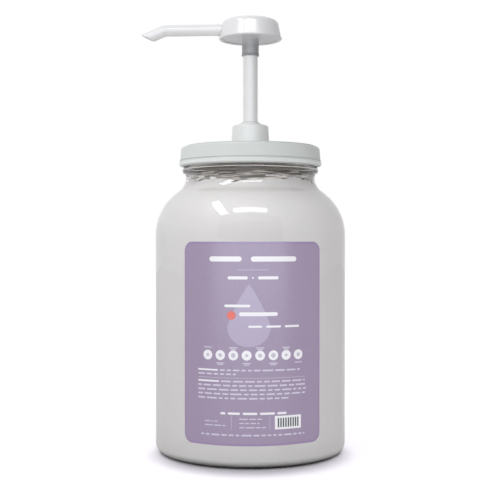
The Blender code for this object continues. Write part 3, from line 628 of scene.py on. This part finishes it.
def make_smears_and_bead_highlight():
    """Streaks of lotion left on the glass above the fill, taller and higher up at the back, and the bead's
    painted highlight line.
    """
    draw = random.Random(11)
    points, faces = [], []
    for k in range(STREAKS):
        angle = FRONT + (k + draw.uniform(-0.4, 0.4)) * math.tau / STREAKS
        base = LOTION_LEVEL_Z + 1.5 + fill_wave(angle)
        behind = math.sin(angle) > 0.2
        rise = draw.uniform(0.05, 1.0) * (8.5 if behind else 6.8)
        width = draw.uniform(7, 26)
        height = draw.uniform(0.3, 1.05) * (3.0 if behind else 1.0)
        tilt = draw.uniform(-0.16, 0.16)
        depth = draw.uniform(0.15, 0.4)
        phase = draw.uniform(0, 6)
        smear(points, faces, angle, base + rise, width, height, depth, tilt, phase)
    bead_highlight_line(points, faces)
    smears = mesh_piece("lotion_smears_and_highlight", points, faces, 60)
    place(smears, "jar", "lotion", DRIED_CREAM_AND_HIGHLIGHT)


# ---- label
def on_label(u, z, lift):
    """A point of the label from its distance along the arc, its height and its lift off the face."""
    return polar(LABEL_FACE + lift, FRONT + LABEL_TURN + u / LABEL_FACE, z)


def panel_ring(inset, count=24, corner_steps=8):
    """Points round a rounded panel, inset from its edge, the same number for every inset."""
    half_w = LABEL_HALF_ARC - inset
    half_h = (LABEL_HIGH_Z - LABEL_LOW_Z) / 2 - inset
    corner = max(LABEL_CORNER - inset, 0.4)
    ring = []
    for quarter, (side_x, side_z) in enumerate(((1, 1), (-1, 1), (-1, -1), (1, -1))):
        centre = Vector((side_x * (half_w - corner), side_z * (half_h - corner)))
        for k in range(corner_steps + 1):
            angle = math.pi / 2 * (quarter + k / corner_steps)
            ring.append(centre + corner * Vector((math.cos(angle), math.sin(angle))))
        across = quarter % 2 == 0
        span = 2 * (half_w - corner) if across else 2 * (half_h - corner)
        step = Vector((-side_x, 0)) if across else Vector((0, -side_z))
        start = ring[-1].copy()
        ring += [start + step * span * k / count for k in range(1, count)]
    return ring


def make_label():
    """The label sheet as rings that shrink to its middle, with a border band and a plain back."""
    middle_z = (LABEL_LOW_Z + LABEL_HIGH_Z) / 2
    insets = [0.0, 0.06, 0.4, 1.0, 1.7, 1.9, 3.0, 4.5]
    border_bands, inner_rings = 4, 30
    rings = [(panel_ring(d), 0.0 if d else -0.3 * LABEL_THICKNESS) for d in insets]
    inner = rings[-1][0]
    for k in range(1, inner_rings):
        rings.append(([p * (1 - k / inner_rings) for p in inner], 0.0))
    points = []

    def lay(sheet, middle_lift):
        """Lay rings and a middle point on the label and give back their rows of point numbers."""
        rows = []
        for ring, lift in [*sheet, ([Vector((0, 0))], middle_lift)]:
            rows.append(range(len(points), len(points) + len(ring)))
            points.extend(on_label(p.x, middle_z + p.y, lift) for p in ring)
        return rows

    front = lay(rings, 0)
    back_rings = [(ring, -LABEL_THICKNESS) for ring, _ in [rings[0]] + rings[len(insets) :: 3]]
    back = lay(back_rings, -LABEL_THICKNESS)
    faces = skin(front) + skin([front[0]] + back)
    border = border_bands * len(inner)
    label = mesh_piece("label_sheet", points, faces, 50)
    place(label, "jar", "label", [PAPER, PAPER_EDGE], "front_label")
    label.data.polygons.foreach_set("material_index", [1] * border + [0] * (len(faces) - border))
    # Light reaches the lotion behind the glass as if the label weren't there.
    label.visible_transmission = label.visible_shadow = False
    return label


COLUMN_STEP = 2.2  # widest column of a printed shape, so that it follows the curve


class Print:
    """Thin printed shapes that follow the label's curve, gathered into one mesh."""

    def __init__(self, lift):
        self.points, self.faces, self.lift = [], [], lift

    def strip(self, columns):
        """A closed thin shape from (u, low z, high z) columns."""
        first = len(self.points)
        for u, low, high in columns:
            for z, lift in ((low, -0.05), (low, self.lift), (high, self.lift), (high, -0.05)):
                self.points.append(on_label(u, z, lift))
        for i in range(len(columns) - 1):
            a, b = first + 4 * i, first + 4 * (i + 1)
            for k in range(4):
                after = (k + 1) % 4
                self.faces.append((a + k, b + k, b + after, a + after))
        last = first + 4 * (len(columns) - 1)
        self.faces += [(first, first + 1, first + 2, first + 3), (last + 3, last + 2, last + 1, last)]

    def pill(self, left, right, z, height):
        """A bar with round ends."""
        half = height / 2
        ends = [half * (1 - math.cos(math.pi / 2 * k / 4)) for k in range(5)]
        inner = max(2, math.ceil((right - left - height) / COLUMN_STEP))
        us = [left + e for e in ends]
        us += [left + half + (right - left - height) * k / inner for k in range(1, inner)]
        us += [right - e for e in reversed(ends)]
        columns = []
        for u in us:
            short = max(0.0, half - min(u - left, right - u))
            rise = max(math.sqrt(max(half * half - short * short, 0.0)), 0.02)
            columns.append((u, z - rise, z + rise))
        self.strip(columns)

    def disc(self, u, z, radius, steps=20):
        columns = []
        for k in range(steps + 1):
            turn = math.pi * k / steps
            rise = max(radius * math.sin(turn), 0.02)
            columns.append((u - radius * math.cos(turn), z - rise, z + rise))
        self.strip(columns)

    def box(self, left, right, low, high):
        count = max(2, math.ceil((right - left) / COLUMN_STEP))
        self.strip([(left + (right - left) * k / count, low, high) for k in range(count + 1)])

    def words(self, left, right, z, height, draw, longest=9.0):
        """A line of text shown as plain dashes of uneven length."""
        u = left
        while u < right - height:
            length = min(draw.uniform(0.3, 1.0) * longest, right - u)
            if right - u - length < 0.25 * longest:
                length = right - u
            self.pill(u, u + length, z, height)
            u += length + 1.1 * height

    def done(self, name, paint):
        """Make the gathered shapes into one piece."""
        piece = mesh_piece(name, self.points, self.faces, 50)
        return place(piece, "jar", "label", paint)


def drop_columns(u, z, width, height, steps=36):
    """A plain droplet: round below, pointed on top."""
    columns = []
    for k in range(steps + 1):
        x = -math.cos(math.pi * k / steps)
        spread = math.sqrt(max(1 - x * x, 0.0))
        low = z - height * 0.32 * (0.02 + spread)
        high = z + height * 0.68 * (1 - abs(x)) ** 0.62 * (0.35 + 0.65 * spread) + 0.02
        columns.append((u + width / 2 * x, low, high))
    return columns


def make_print():
    """The label's layout in plain marks: bars, dashes, blank discs, a droplet, a dot and a striped box."""
    draw = random.Random(4)
    pale, soft, white = Print(0.02), Print(0.03), Print(0.04)
    accent, stripes, icons = Print(0.06), Print(0.07), Print(0.07)
    margin, text = -43.6, 1.2

    pale.strip(drop_columns(-3.0, 108.5, 33.0, 47.0))
    accent.disc(-16.4, 117.0, 3.3)

    title_z, scent_z = 159.5, 145.3
    white.pill(-33.8, -8.4, title_z, 3.9)
    white.pill(-1.6, 34.2, title_z, 3.9)
    soft.box(-11.6, 11.8, 151.2, 151.5)
    white.pill(-19.3, -3.8, scent_z, 2.3)
    white.disc(0.0, scent_z, 0.7)
    white.pill(3.8, 19.6, scent_z, 2.3)
    white.pill(-21.8, -2.0, 124.2, 2.0)
    white.pill(-10.5, 19.0, 118.0, 2.9)
    for left, right in ((-3.6, 7.0), (10.0, 21.5), (24.5, 36.6)):
        white.pill(left, right, 108.6, 1.6)

    disc_z, disc_pitch, discs = 86.9, 10.15, 8
    for k in range(discs):
        u = -35.2 + disc_pitch * k
        white.disc(u, disc_z, 3.75)
        icons.disc(u, disc_z, 1.1 + 0.35 * (k % 3))
        caption_z = disc_z + (5.8 if k % 2 == 0 else -5.9)
        soft.pill(u - 3.2, u + 3.2, caption_z, 0.7)
        if k not in (0, discs - 1):
            soft.pill(u - 2.2, u + 2.2, caption_z - 1.2, 0.7)

    white.pill(margin, -27.0, 75.6, text)
    soft.words(-25.5, 37.5, 75.6, text, draw)
    soft.words(margin, -12.7, 72.6, text, draw)
    soft.box(margin, 42.5, 69.7, 69.95)
    white.pill(margin, -26.0, 67.2, text)
    soft.words(-24.5, 42.0, 67.2, text, draw)
    for z, right in ((64.0, 42.0), (60.8, 43.0), (57.6, 42.0), (54.4, 27.7)):
        soft.words(margin, right, z, text, draw)

    white.words(-25.0, 26.0, 43.0, 1.7, draw, 12.0)
    soft.words(-37.9, -27.0, 36.7, 0.8, draw, 5.0)
    soft.words(-37.9, -21.0, 33.7, 0.8, draw, 7.0)
    for u in (-16.4, 12.9):
        soft.box(u - 0.12, u + 0.12, 30.6, 41.0)
    for z, right in ((38.9, 7.0), (35.7, 5.0), (32.5, 9.9)):
        soft.words(-10.4, right, z, 0.8, draw, 7.0)
    white.box(16.7, 38.3, 30.8, 41.0)
    for k in range(9):
        stripes.box(19.0 + 2.0 * k, 20.1 + 2.0 * k, 32.4, 39.4)
    soft.words(-41.0, 41.6, 26.6, text, draw, 8.0)
    return [
        pale.done("label_droplet", INK_PALE),
        soft.done("label_small_marks", INK_SOFT),
        white.done("label_main_marks", INK_WHITE),
        accent.done("label_dot", INK_CORAL),
        stripes.done("label_stripes", INK_DARK),
        icons.done("label_disc_centres", INK_GREY),
    ]


# ---- lid, collar and wiper
def make_lid():
    """The screw lid, with a low ring on its top, a line above its bead and the thread inside."""
    underside = LID_TOP_Z - LID_PLATE
    side_z = LID_BEAD_TOP_Z + 1.0
    outside = rounded(
        6,
        (LID_HOLE_RADIUS, underside, 0),
        (LID_HOLE_RADIUS, LID_TOP_Z, 0.25),
        (48.0, LID_TOP_Z, 0.4),
        (48.6, LID_TOP_Z + 0.25, 0.4),
        (53.4, LID_TOP_Z + 0.25, 0.4),
        (54.0, LID_TOP_Z, 0.4),
        (LID_TOP_RADIUS - 0.1, LID_TOP_Z, 1.5),
        (LID_SKIRT_RADIUS - 0.03, side_z + 0.6, 0.6),
        (LID_SKIRT_RADIUS - 0.05, side_z + 0.25, 0.3),
        (LID_SKIRT_RADIUS + 0.05, side_z - 0.2, 0.4),
        (LID_BEAD_RADIUS - 0.1, LID_BEAD_TOP_Z - 0.4, 0.8),
        (LID_BEAD_RADIUS + 0.05, LID_BOTTOM_Z, 1.1),
        (LID_INNER_RADIUS, LID_BOTTOM_Z, 0.35),
    )
    low, high = LID_BOTTOM_Z + 0.6, underside - 0.7
    wall = ladder(LID_INNER_RADIUS, low, high, 34)
    inside = arc(LID_INNER_RADIUS - 0.6, high, 0.6, 0, 90, 4)
    thread_rows = range(len(outside), len(outside + wall))
    warp = inner_thread(thread_rows, JAR_THREAD_Z - LID_PITCH / 2, LID_PITCH, LID_THREAD_BEAD)
    lid = lathe("lid_cap", outside + wall + inside, 288, warp)
    place(lid, "lid", "lid_plastic", [LID_PLASTIC, LID_BEAD_PAINTED_LIGHT], "screw_lid")
    # Painted light: the bead's faces take the lighter copy of the lid plastic.
    for face in lid.data.polygons:
        x, y, z = face.center / MM
        if z < LID_BEAD_TOP_Z - 0.3 and math.hypot(x, y) > LID_SKIRT_RADIUS - 1:
            face.material_index = 1


def make_collar():
    """The collar that clamps the pump to the lid, with its thread inside."""
    low = LID_TOP_Z + GAP
    plate_z = BUSH_FLANGE_TOP_Z + 1.9
    neck_z = STUB_TOP_Z - 1
    outside = rounded(
        6,
        (COLLAR_HOLE_RADIUS, plate_z, 0.2),
        (COLLAR_HOLE_RADIUS, COLLAR_CONE_Z, 0.3),
        (COLLAR_TOP_RADIUS, COLLAR_TOP_Z, 1.3),
        (COLLAR_BOTTOM_RADIUS - 0.35, low + 2.7, 0.5),
        (COLLAR_BOTTOM_RADIUS, low + 2.3, 0.3),
        (COLLAR_BOTTOM_RADIUS + 0.05, low, 0.6),
        (COLLAR_BORE, low, 0.3),
    )
    wall = ladder(COLLAR_BORE, low + 0.5, neck_z - 0.1, 26)
    neck_r = COLLAR_BORE - 1
    inside = [(neck_r, neck_z + 0.5), (neck_r, plate_z - 0.05), (neck_r - 0.05, plate_z)]
    thread_rows = range(len(outside), len(outside + wall))
    thread_z = STUB_THREAD_Z - STUB_PITCH / 2 + GAP
    warp = inner_thread(thread_rows, thread_z, STUB_PITCH, COLLAR_THREAD_BEAD, STUB_THREAD_TURNS)
    collar = lathe("collar_ring", outside + wall + inside, 160, warp)
    return place(collar, "lid", "pump_plastic", COLLAR_PLASTIC, "pump_collar")


def make_wiper():
    """The soft lip round the foot of the stem, held under the collar's plate."""
    bore = STEM_RADIUS + GAP
    low = BUSH_FLANGE_TOP_Z + GAP
    neck = COLLAR_HOLE_RADIUS - GAP
    lip_z = COLLAR_CONE_Z + 0.35
    outline = rounded(
        4,
        (bore, low, 0.2),
        (bore, WIPER_LIP_Z, 0.25),
        (bore + 0.6, WIPER_LIP_Z - 0.3, 0.4),
        (COLLAR_HOLE_RADIUS + 0.4, lip_z + 0.8, 0.7),
        (COLLAR_HOLE_RADIUS + 0.6, lip_z, 0.25),
        (neck, lip_z, 0.15),
        (neck, low + 1.3, 0.2),
        (11.0, low + 1.3, 0.3),
        (11.0, low, 0.3),
    )
    wiper = lathe("wiper_lip", outline, 96)
    return place(wiper, "lid", "soft_plastic", SOFT_PLASTIC, "stem_wiper")


# ---- stem, head and spout
def make_stem():
    outline = rounded(
        4,
        (STEM_RADIUS, STEM_LOW_Z, 0.4),
        (STEM_RADIUS, STEM_TOP_Z, 0.4),
        (STEM_BORE, STEM_TOP_Z, 0.3),
        (STEM_BORE, STEM_LOW_Z, 0.3),
    )
    stem = lathe("stem_rod", outline, 96)
    return place(stem, "head", "pump_plastic", PUMP_PLASTIC, "stem_tube")


def make_core():
    """Hub, floor of the head, flow turret and spout socket."""
    bore = STEM_RADIUS + GAP
    turret, turret_top = HUB_RADIUS + 0.4, CAP_TOP_Z - CAP_WALL - GAP
    hub_z = DISC_Z + DISC_RISE
    outline = rounded(
        5,
        (0, turret_top, 0),
        (turret, turret_top, 0.5),
        (turret, hub_z + DISC_THICKNESS, 0.6),
        (DISC_RADIUS, DISC_Z + DISC_THICKNESS, 0.3),
        (DISC_RADIUS, DISC_Z, 0.5),
        (HUB_RADIUS + 0.1, hub_z, 1.0),
        (HUB_RADIUS, HUB_LOW_Z + 1.2, 0.7),
        (HUB_RADIUS - 0.4, HUB_LOW_Z, 0.25),
        (bore, HUB_LOW_Z, 0.3),
        (bore, STEM_TOP_Z + GAP, 0.2),
        (STEM_BORE, STEM_TOP_Z + GAP, 0.2),
        (STEM_BORE, turret_top - 1.8, 0.4),
        (0, turret_top - 1.8, 0),
    )
    core = lathe("head_floor", outline, 128, closed=False)
    boss = side_rod("core_boss", BOSS_RADIUS, STEM_BORE + 0.8, 18.0)
    socket = side_rod("core_socket", SPOUT_RADIUS + GAP, SPOUT_INNER_X - GAP, 20.0)
    passage = side_rod("core_passage", SPOUT_BORE, 0, SPOUT_INNER_X + 2)
    carve(core, [(boss, "UNION"), (socket, "DIFFERENCE"), (passage, "DIFFERENCE")])
    return place(core, "head", "pump_plastic", CORE_PLASTIC, "head_core")


def make_cap():
    """The press head's shell: a low dome, a round corner and a tapered skirt."""
    corner_r, corner_z = CAP_TOP_RADIUS - CAP_CORNER, CAP_TOP_Z - CAP_CORNER
    dome = [(0, CAP_TOP_Z + CAP_DOME)]
    for share in (0.15, 0.3, 0.45, 0.6, 0.72, 0.84, 0.93):
        dome.append((corner_r * share, CAP_TOP_Z + CAP_DOME * (1 - share * share) + 0.02))
    corner = arc(corner_r, corner_z, CAP_CORNER, 83, 10, 12)
    rim = rounded(
        5,
        (CAP_TOP_RADIUS, corner_z, 0),
        (CAP_RIM_RADIUS, CAP_RIM_Z, 0.55),
        (CAP_RIM_RADIUS - CAP_WALL, CAP_RIM_Z, 0.5),
        (CAP_TOP_RADIUS - CAP_WALL, corner_z, 0),
    )[1:-1]
    inside = arc(corner_r, corner_z, CAP_CORNER - CAP_WALL, 10, 83, 6) + [(0, CAP_TOP_Z - CAP_WALL)]
    cap = lathe("head_cover", dome + corner + rim + inside, 192, closed=False)
    hole = side_rod("cap_hole", SPOUT_RADIUS + GAP, CAP_TOP_RADIUS - 6, CAP_RIM_RADIUS + 4, 64)
    carve(cap, [(hole, "DIFFERENCE")])
    return place(cap, "head", "pump_plastic", PUMP_PLASTIC, "head_cap")


def spout_line(start_x, reach, steps=14):
    """Centre points and slopes of the spout: a slightly drooping run, a round bend and a short tip."""
    turn = SPOUT_TIP_SLOPE - SPOUT_DROOP
    lead = SPOUT_BEND_RADIUS * math.tan(turn / 2)
    slope = math.tan(SPOUT_DROOP)

    def run(x):
        return Vector((-x, 0, SPOUT_Z - (x - SPOUT_PIVOT_X) * slope)), SPOUT_DROOP

    line = [run(x) for x in (start_x, start_x + 0.5, 22, *FERRULE_X, 34, 42, 50, 58, 64)]
    centre_x = SPOUT_BEND_X - lead
    centre_z = run(SPOUT_BEND_X)[0].z + lead * math.sin(SPOUT_DROOP) - SPOUT_BEND_RADIUS
    for i in range(steps + 1):
        angle = SPOUT_DROOP + turn * i / steps
        x = centre_x + SPOUT_BEND_RADIUS * math.sin(angle)
        line.append((Vector((-x, 0, centre_z + SPOUT_BEND_RADIUS * math.cos(angle))), angle))
    bend_end = line[-1][0]
    ahead = Vector((-math.cos(SPOUT_TIP_SLOPE), 0, -math.sin(SPOUT_TIP_SLOPE)))
    length = (reach - SPOUT_BEND_X) / math.cos(SPOUT_TIP_SLOPE)
    line += [(bend_end + ahead * length * s, SPOUT_TIP_SLOPE) for s in (0.12, 0.24)]
    return line, ahead


def make_spout():
    """The spout: its outside with the ferrule, the slanted cut at the tip, and back along the bore."""
    line, ahead = spout_line(SPOUT_INNER_X, SPOUT_REACH)
    cut_point = Vector((-SPOUT_REACH, 0, SPOUT_Z - SPOUT_TIP_DROP))
    ferrule_middle = sum(FERRULE_X) / 2
    cut_normal = Vector((-math.sin(SPOUT_CUT_SLOPE), 0, -math.cos(SPOUT_CUT_SLOPE)))

    def onto_cut(inset):
        def slide(point):
            gap = (cut_point - cut_normal * inset - point).dot(cut_normal)
            return point + ahead * gap / ahead.dot(cut_normal)

        return slide

    def ring(centre, angle, radius, slide=None):
        up = Vector((-math.sin(angle), 0, math.cos(angle)))
        return (centre, Vector((0, 1, 0)), up, radius, slide)

    stations = []
    for centre, angle in line:
        x = -centre.x
        if FERRULE_X[0] - 0.1 <= x <= FERRULE_X[1] + 0.1:
            near_side = x < ferrule_middle
            inner, outer = (-0.25, 0.1) if near_side else (0.25, -0.1)
            steps = [(inner, SPOUT_RADIUS), (0, SPOUT_RADIUS + 0.1), (outer, FERRULE_RADIUS)]
            for shift, radius in steps if near_side else reversed(steps):
                stations.append(ring(centre + Vector((-shift, 0, 0)), angle, radius))
        else:
            stations.append(ring(centre, angle, SPOUT_RADIUS))
    tip, tip_angle = line[-1]
    edge = [(0.9, SPOUT_RADIUS), (0.25, SPOUT_RADIUS), (0.08, SPOUT_RADIUS - 0.06)]
    edge += [(0, SPOUT_RADIUS - 0.2), (0, SPOUT_BORE + 0.2), (0.08, SPOUT_BORE + 0.05), (0.3, SPOUT_BORE)]
    stations += [ring(tip, tip_angle, radius, onto_cut(inset)) for inset, radius in edge]
    stations += [ring(centre, angle, SPOUT_BORE) for centre, angle in reversed(line)]
    spout = tube("spout_pipe", stations, 64, closed=True)
    return place(spout, "head", "pump_plastic", PUMP_PLASTIC, "spout_tube")


# ---- spring
def make_spring():
    """The coil spring, with a closed turn at each end, on a mesh of its own."""
    live_turns, per_turn = SPRING_TURNS - 2, 40
    rise = (SPRING_HIGH_Z - SPRING_LOW_Z - 2 * SPRING_DEAD_PITCH) / live_turns
    stations = []
    for i in range(SPRING_TURNS * per_turn + 1):
        turn = i / per_turn
        middle = min(max(turn - 1, 0), live_turns)
        z = SPRING_LOW_Z + SPRING_DEAD_PITCH * (turn - middle) + rise * middle
        outward = Vector(polar(1, math.tau * turn, 0))
        centre = outward * SPRING_RADIUS + UP * z
        stations.append((centre, outward, UP, SPRING_WIRE, None))
    spring = tube("coil_spring", stations, 14)
    place(spring, "lid", "spring_steel", SPRING_STEEL, "return_spring")
    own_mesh(spring)


# ---- studio, in metres
FLOOR_SEEN, FLOOR_BOUNCE = (0.615, 0.595, 0.63), (0.38, 0.375, 0.375)
WORLD_STOPS = (
    (0.0, (1.04, 1.05, 1.07)),
    (0.5, (0.98, 0.99, 1.01)),
    (0.8, (0.96, 0.95, 0.98)),
    (1.0, (0.91, 0.90, 0.925)),
)
CAMERA_PLACE, CAMERA_PITCH_DEG, CAMERA_LENS_MM = (-0.0003, -0.819, 0.1761), -0.76, 71.06


def make_floor():
    """A wide plain floor, lighter to the camera than in the light that it throws back."""
    mesh = bpy.data.meshes.new("floor")
    reach, steps, z = 4.0, 8, -0.0001
    grid = [-reach + 2 * reach * i / steps for i in range(steps + 1)]
    row = steps + 1
    faces = []
    for j in range(steps):
        for i in range(steps):
            corner = j * row + i
            faces.append((corner, corner + 1, corner + row + 1, corner + row))
    mesh.from_pydata([(x, y, z) for y in grid for x in grid], [], faces)
    floor = add_object("floor", mesh)
    mat = new_surface("studio_paper", FLOOR_SEEN, 0.95)
    tree = mat.node_tree
    path, tone = add_node(tree, "LightPath"), add_node(tree, "Mix")
    tone.data_type = "RGBA"
    set_inputs(tone, {"A": (*FLOOR_BOUNCE, 1), "B": (*FLOOR_SEEN, 1)})
    wire(tree, (path, "Is Camera Ray", tone, "Factor"), (tone, "Result", shader_of(mat), "Base Color"))
    mesh.materials.append(mat)
    floor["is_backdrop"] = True
    return floor


def make_world():
    """White behind the object; the light is cooler and brighter on the left, warmer on the right."""
    world = bpy.data.worlds.new("studio")
    bpy.context.scene.world = world
    world.use_nodes = True
    world.cycles.sampling_method = "NONE"
    tree = world.node_tree
    tree.nodes.clear()
    place, split = add_node(tree, "TexCoord"), add_node(tree, "SeparateXYZ")
    lean = add_node(tree, "VectorMath")
    lean.operation = "DOT_PRODUCT"
    lean.inputs[1].default_value = Vector((0.62, 0.78, 0)).normalized()
    span = add_node(tree, "MapRange", From_Min=-1.0)
    rise = add_node(tree, "MapRange", From_Min=-0.1, To_Min=1.75, To_Max=2.02)
    ramp = add_node(tree, "ValToRGB")
    for i, (at, colour) in enumerate(WORLD_STOPS):
        stop = ramp.color_ramp.elements[i] if i < 2 else ramp.color_ramp.elements.new(at)
        stop.position = at
        stop.color = (*[c / 2 for c in colour], 1)
    light, back = add_node(tree, "Background"), add_node(tree, "Background", Color=(1, 1, 1, 1))
    path, mix, out = (add_node(tree, kind) for kind in ("LightPath", "MixShader", "OutputWorld"))
    wire(tree, (place, "Generated", lean, 0), (lean, "Value", span, "Value"))
    wire(tree, (span, "Result", ramp, "Fac"), (ramp, "Color", light, "Color"))
    wire(tree, (place, "Generated", split, "Vector"), (split, "Z", rise, "Value"))
    wire(tree, (rise, "Result", light, "Strength"), (path, "Is Camera Ray", mix, "Fac"))
    wire(tree, (light, "Background", mix, 1), (back, "Background", mix, 2))
    wire(tree, (mix, "Shader", out, "Surface"))


def softbox(name, where, aim, width, height, radiance, colour=(1, 1, 1), diffuse=False, roll=0.0):
    """A rectangular studio light; without diffuse it only shows as a highlight."""
    data = bpy.data.lights.new(name, "AREA")
    data.shape = "RECTANGLE"
    data.size, data.size_y = width, height
    data.color = colour
    data.energy = radiance * math.pi * width * height
    lamp = add_object(name, data)
    lamp.location = where
    facing = (Vector(aim) - Vector(where)).to_track_quat("-Z", "Y").to_matrix()
    lamp.rotation_euler = (facing @ Matrix.Rotation(math.radians(roll), 3, "Z")).to_euler()
    lamp.visible_camera = lamp.visible_transmission = False
    lamp.visible_diffuse = diffuse
    return lamp


def limit_light(lamp, role, members):
    """Keep a lamp's light (role receiver) or its shadows (role blocker) to some pieces."""
    group = bpy.data.collections.new(f"{lamp.name}_{role}")
    for member in members:
        group.objects.link(member)
    setattr(lamp.light_linking, role + "_collection", group)


def make_lights(outer_pieces):
    """Two boxes for the highlights, a wide front light, and a sheen for the label and pump alone."""
    softbox("overhead_box", (0.0, -0.41, 0.675), (0, 0, 0.25), 0.38, 0.10, 8.0)
    softbox("side_box", (-0.39, -0.32, 0.80), (0, 0, 0.25), 0.11, 0.44, 11.0, roll=50)
    softbox("front_wall", (0.0, -1.6, 0.6), (0, 0, 0.3), 2.2, 1.6, 0.38, (0.97, 0.98, 1.0), True)
    sheen = softbox("front_sheen", (0.0, -1.5, 0.8), (0, 0, 0.8), 2.7, 1.6, 2.6, (0.90, 0.98, 1.06))
    limit_light(sheen, "receiver", outer_pieces)


def make_floor_key(floor, caster):
    """Light from above and a little behind, for the floor alone, with the jar's soft shadow."""
    data = bpy.data.lights.new("floor_key", "SUN")
    data.energy = 2.8
    data.angle = math.radians(8)
    lamp = add_object("floor_key", data)
    lamp.rotation_euler = (math.radians(-6), 0, 0)
    lamp.visible_glossy = False
    limit_light(lamp, "receiver", [floor])
    limit_light(lamp, "blocker", [caster])


def card(name, corners, grey):
    """A flat grey card beside the object, which the camera doesn't see."""
    mesh = bpy.data.meshes.new(name)
    mesh.from_pydata(corners, [], [(0, 1, 2, 3)])
    mesh.materials.append(new_surface(name + "_grey", (grey, grey, grey), 0.9))
    made = add_object(name, mesh)
    made.visible_camera = False
    made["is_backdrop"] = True
    return made


def make_flag():
    """A dark card on the right that dims the right side of the pump and lid."""
    y, low, high, x = 0.18, 0.245, 0.50, 0.14
    flag = card("flag", [(x, -y, low), (x, y, low), (x, y, high), (x, -y, high)], 0.12)
    flag.visible_glossy = False


def make_front_card():
    """A grey card in front, seen only as the dim panel that the shoulder reflects."""
    x, high, y = 1.2, 1.6, -1.52
    front = card("front_card", [(-x, y, 0), (x, y, 0), (x, y, high), (-x, y, high)], 0.2)
    front.visible_diffuse = front.visible_transmission = front.visible_shadow = False


def make_camera():
    """The photograph's view: level with the middle of the object, looking very slightly down."""
    data = bpy.data.cameras.new("camera")
    data.sensor_width = 36.0
    data.lens = CAMERA_LENS_MM
    data.clip_start, data.clip_end = 0.01, 50
    camera = add_object("camera", data)
    camera.location = CAMERA_PLACE
    camera.rotation_euler = (math.radians(90 + CAMERA_PITCH_DEG), 0, 0)
    bpy.context.scene.camera = camera


# ---- build
for finish, *node_names in CAD_FINISH:
    for node_name in node_names:
        for material_slot in NODES[node_name].material_slots:
            material_slot.material = finish

make_camera()
make_jar()
lotion_body = make_lotion()
make_smears_and_bead_highlight()
outer = [make_label(), *make_print()]
make_lid()
outer += [make_collar(), make_wiper(), make_stem(), make_core(), make_cap(), make_spout()]
make_spring()
floor_sheet = make_floor()
make_world()
make_lights(outer)
make_floor_key(floor_sheet, lotion_body)
make_flag()
make_front_card()
bpy.context.scene.view_settings.view_transform = "Standard"

boxes = {"cad": CAD_BOX, "visual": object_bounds()}
{name: [list(corner) for corner in box] for name, box in boxes.items()}
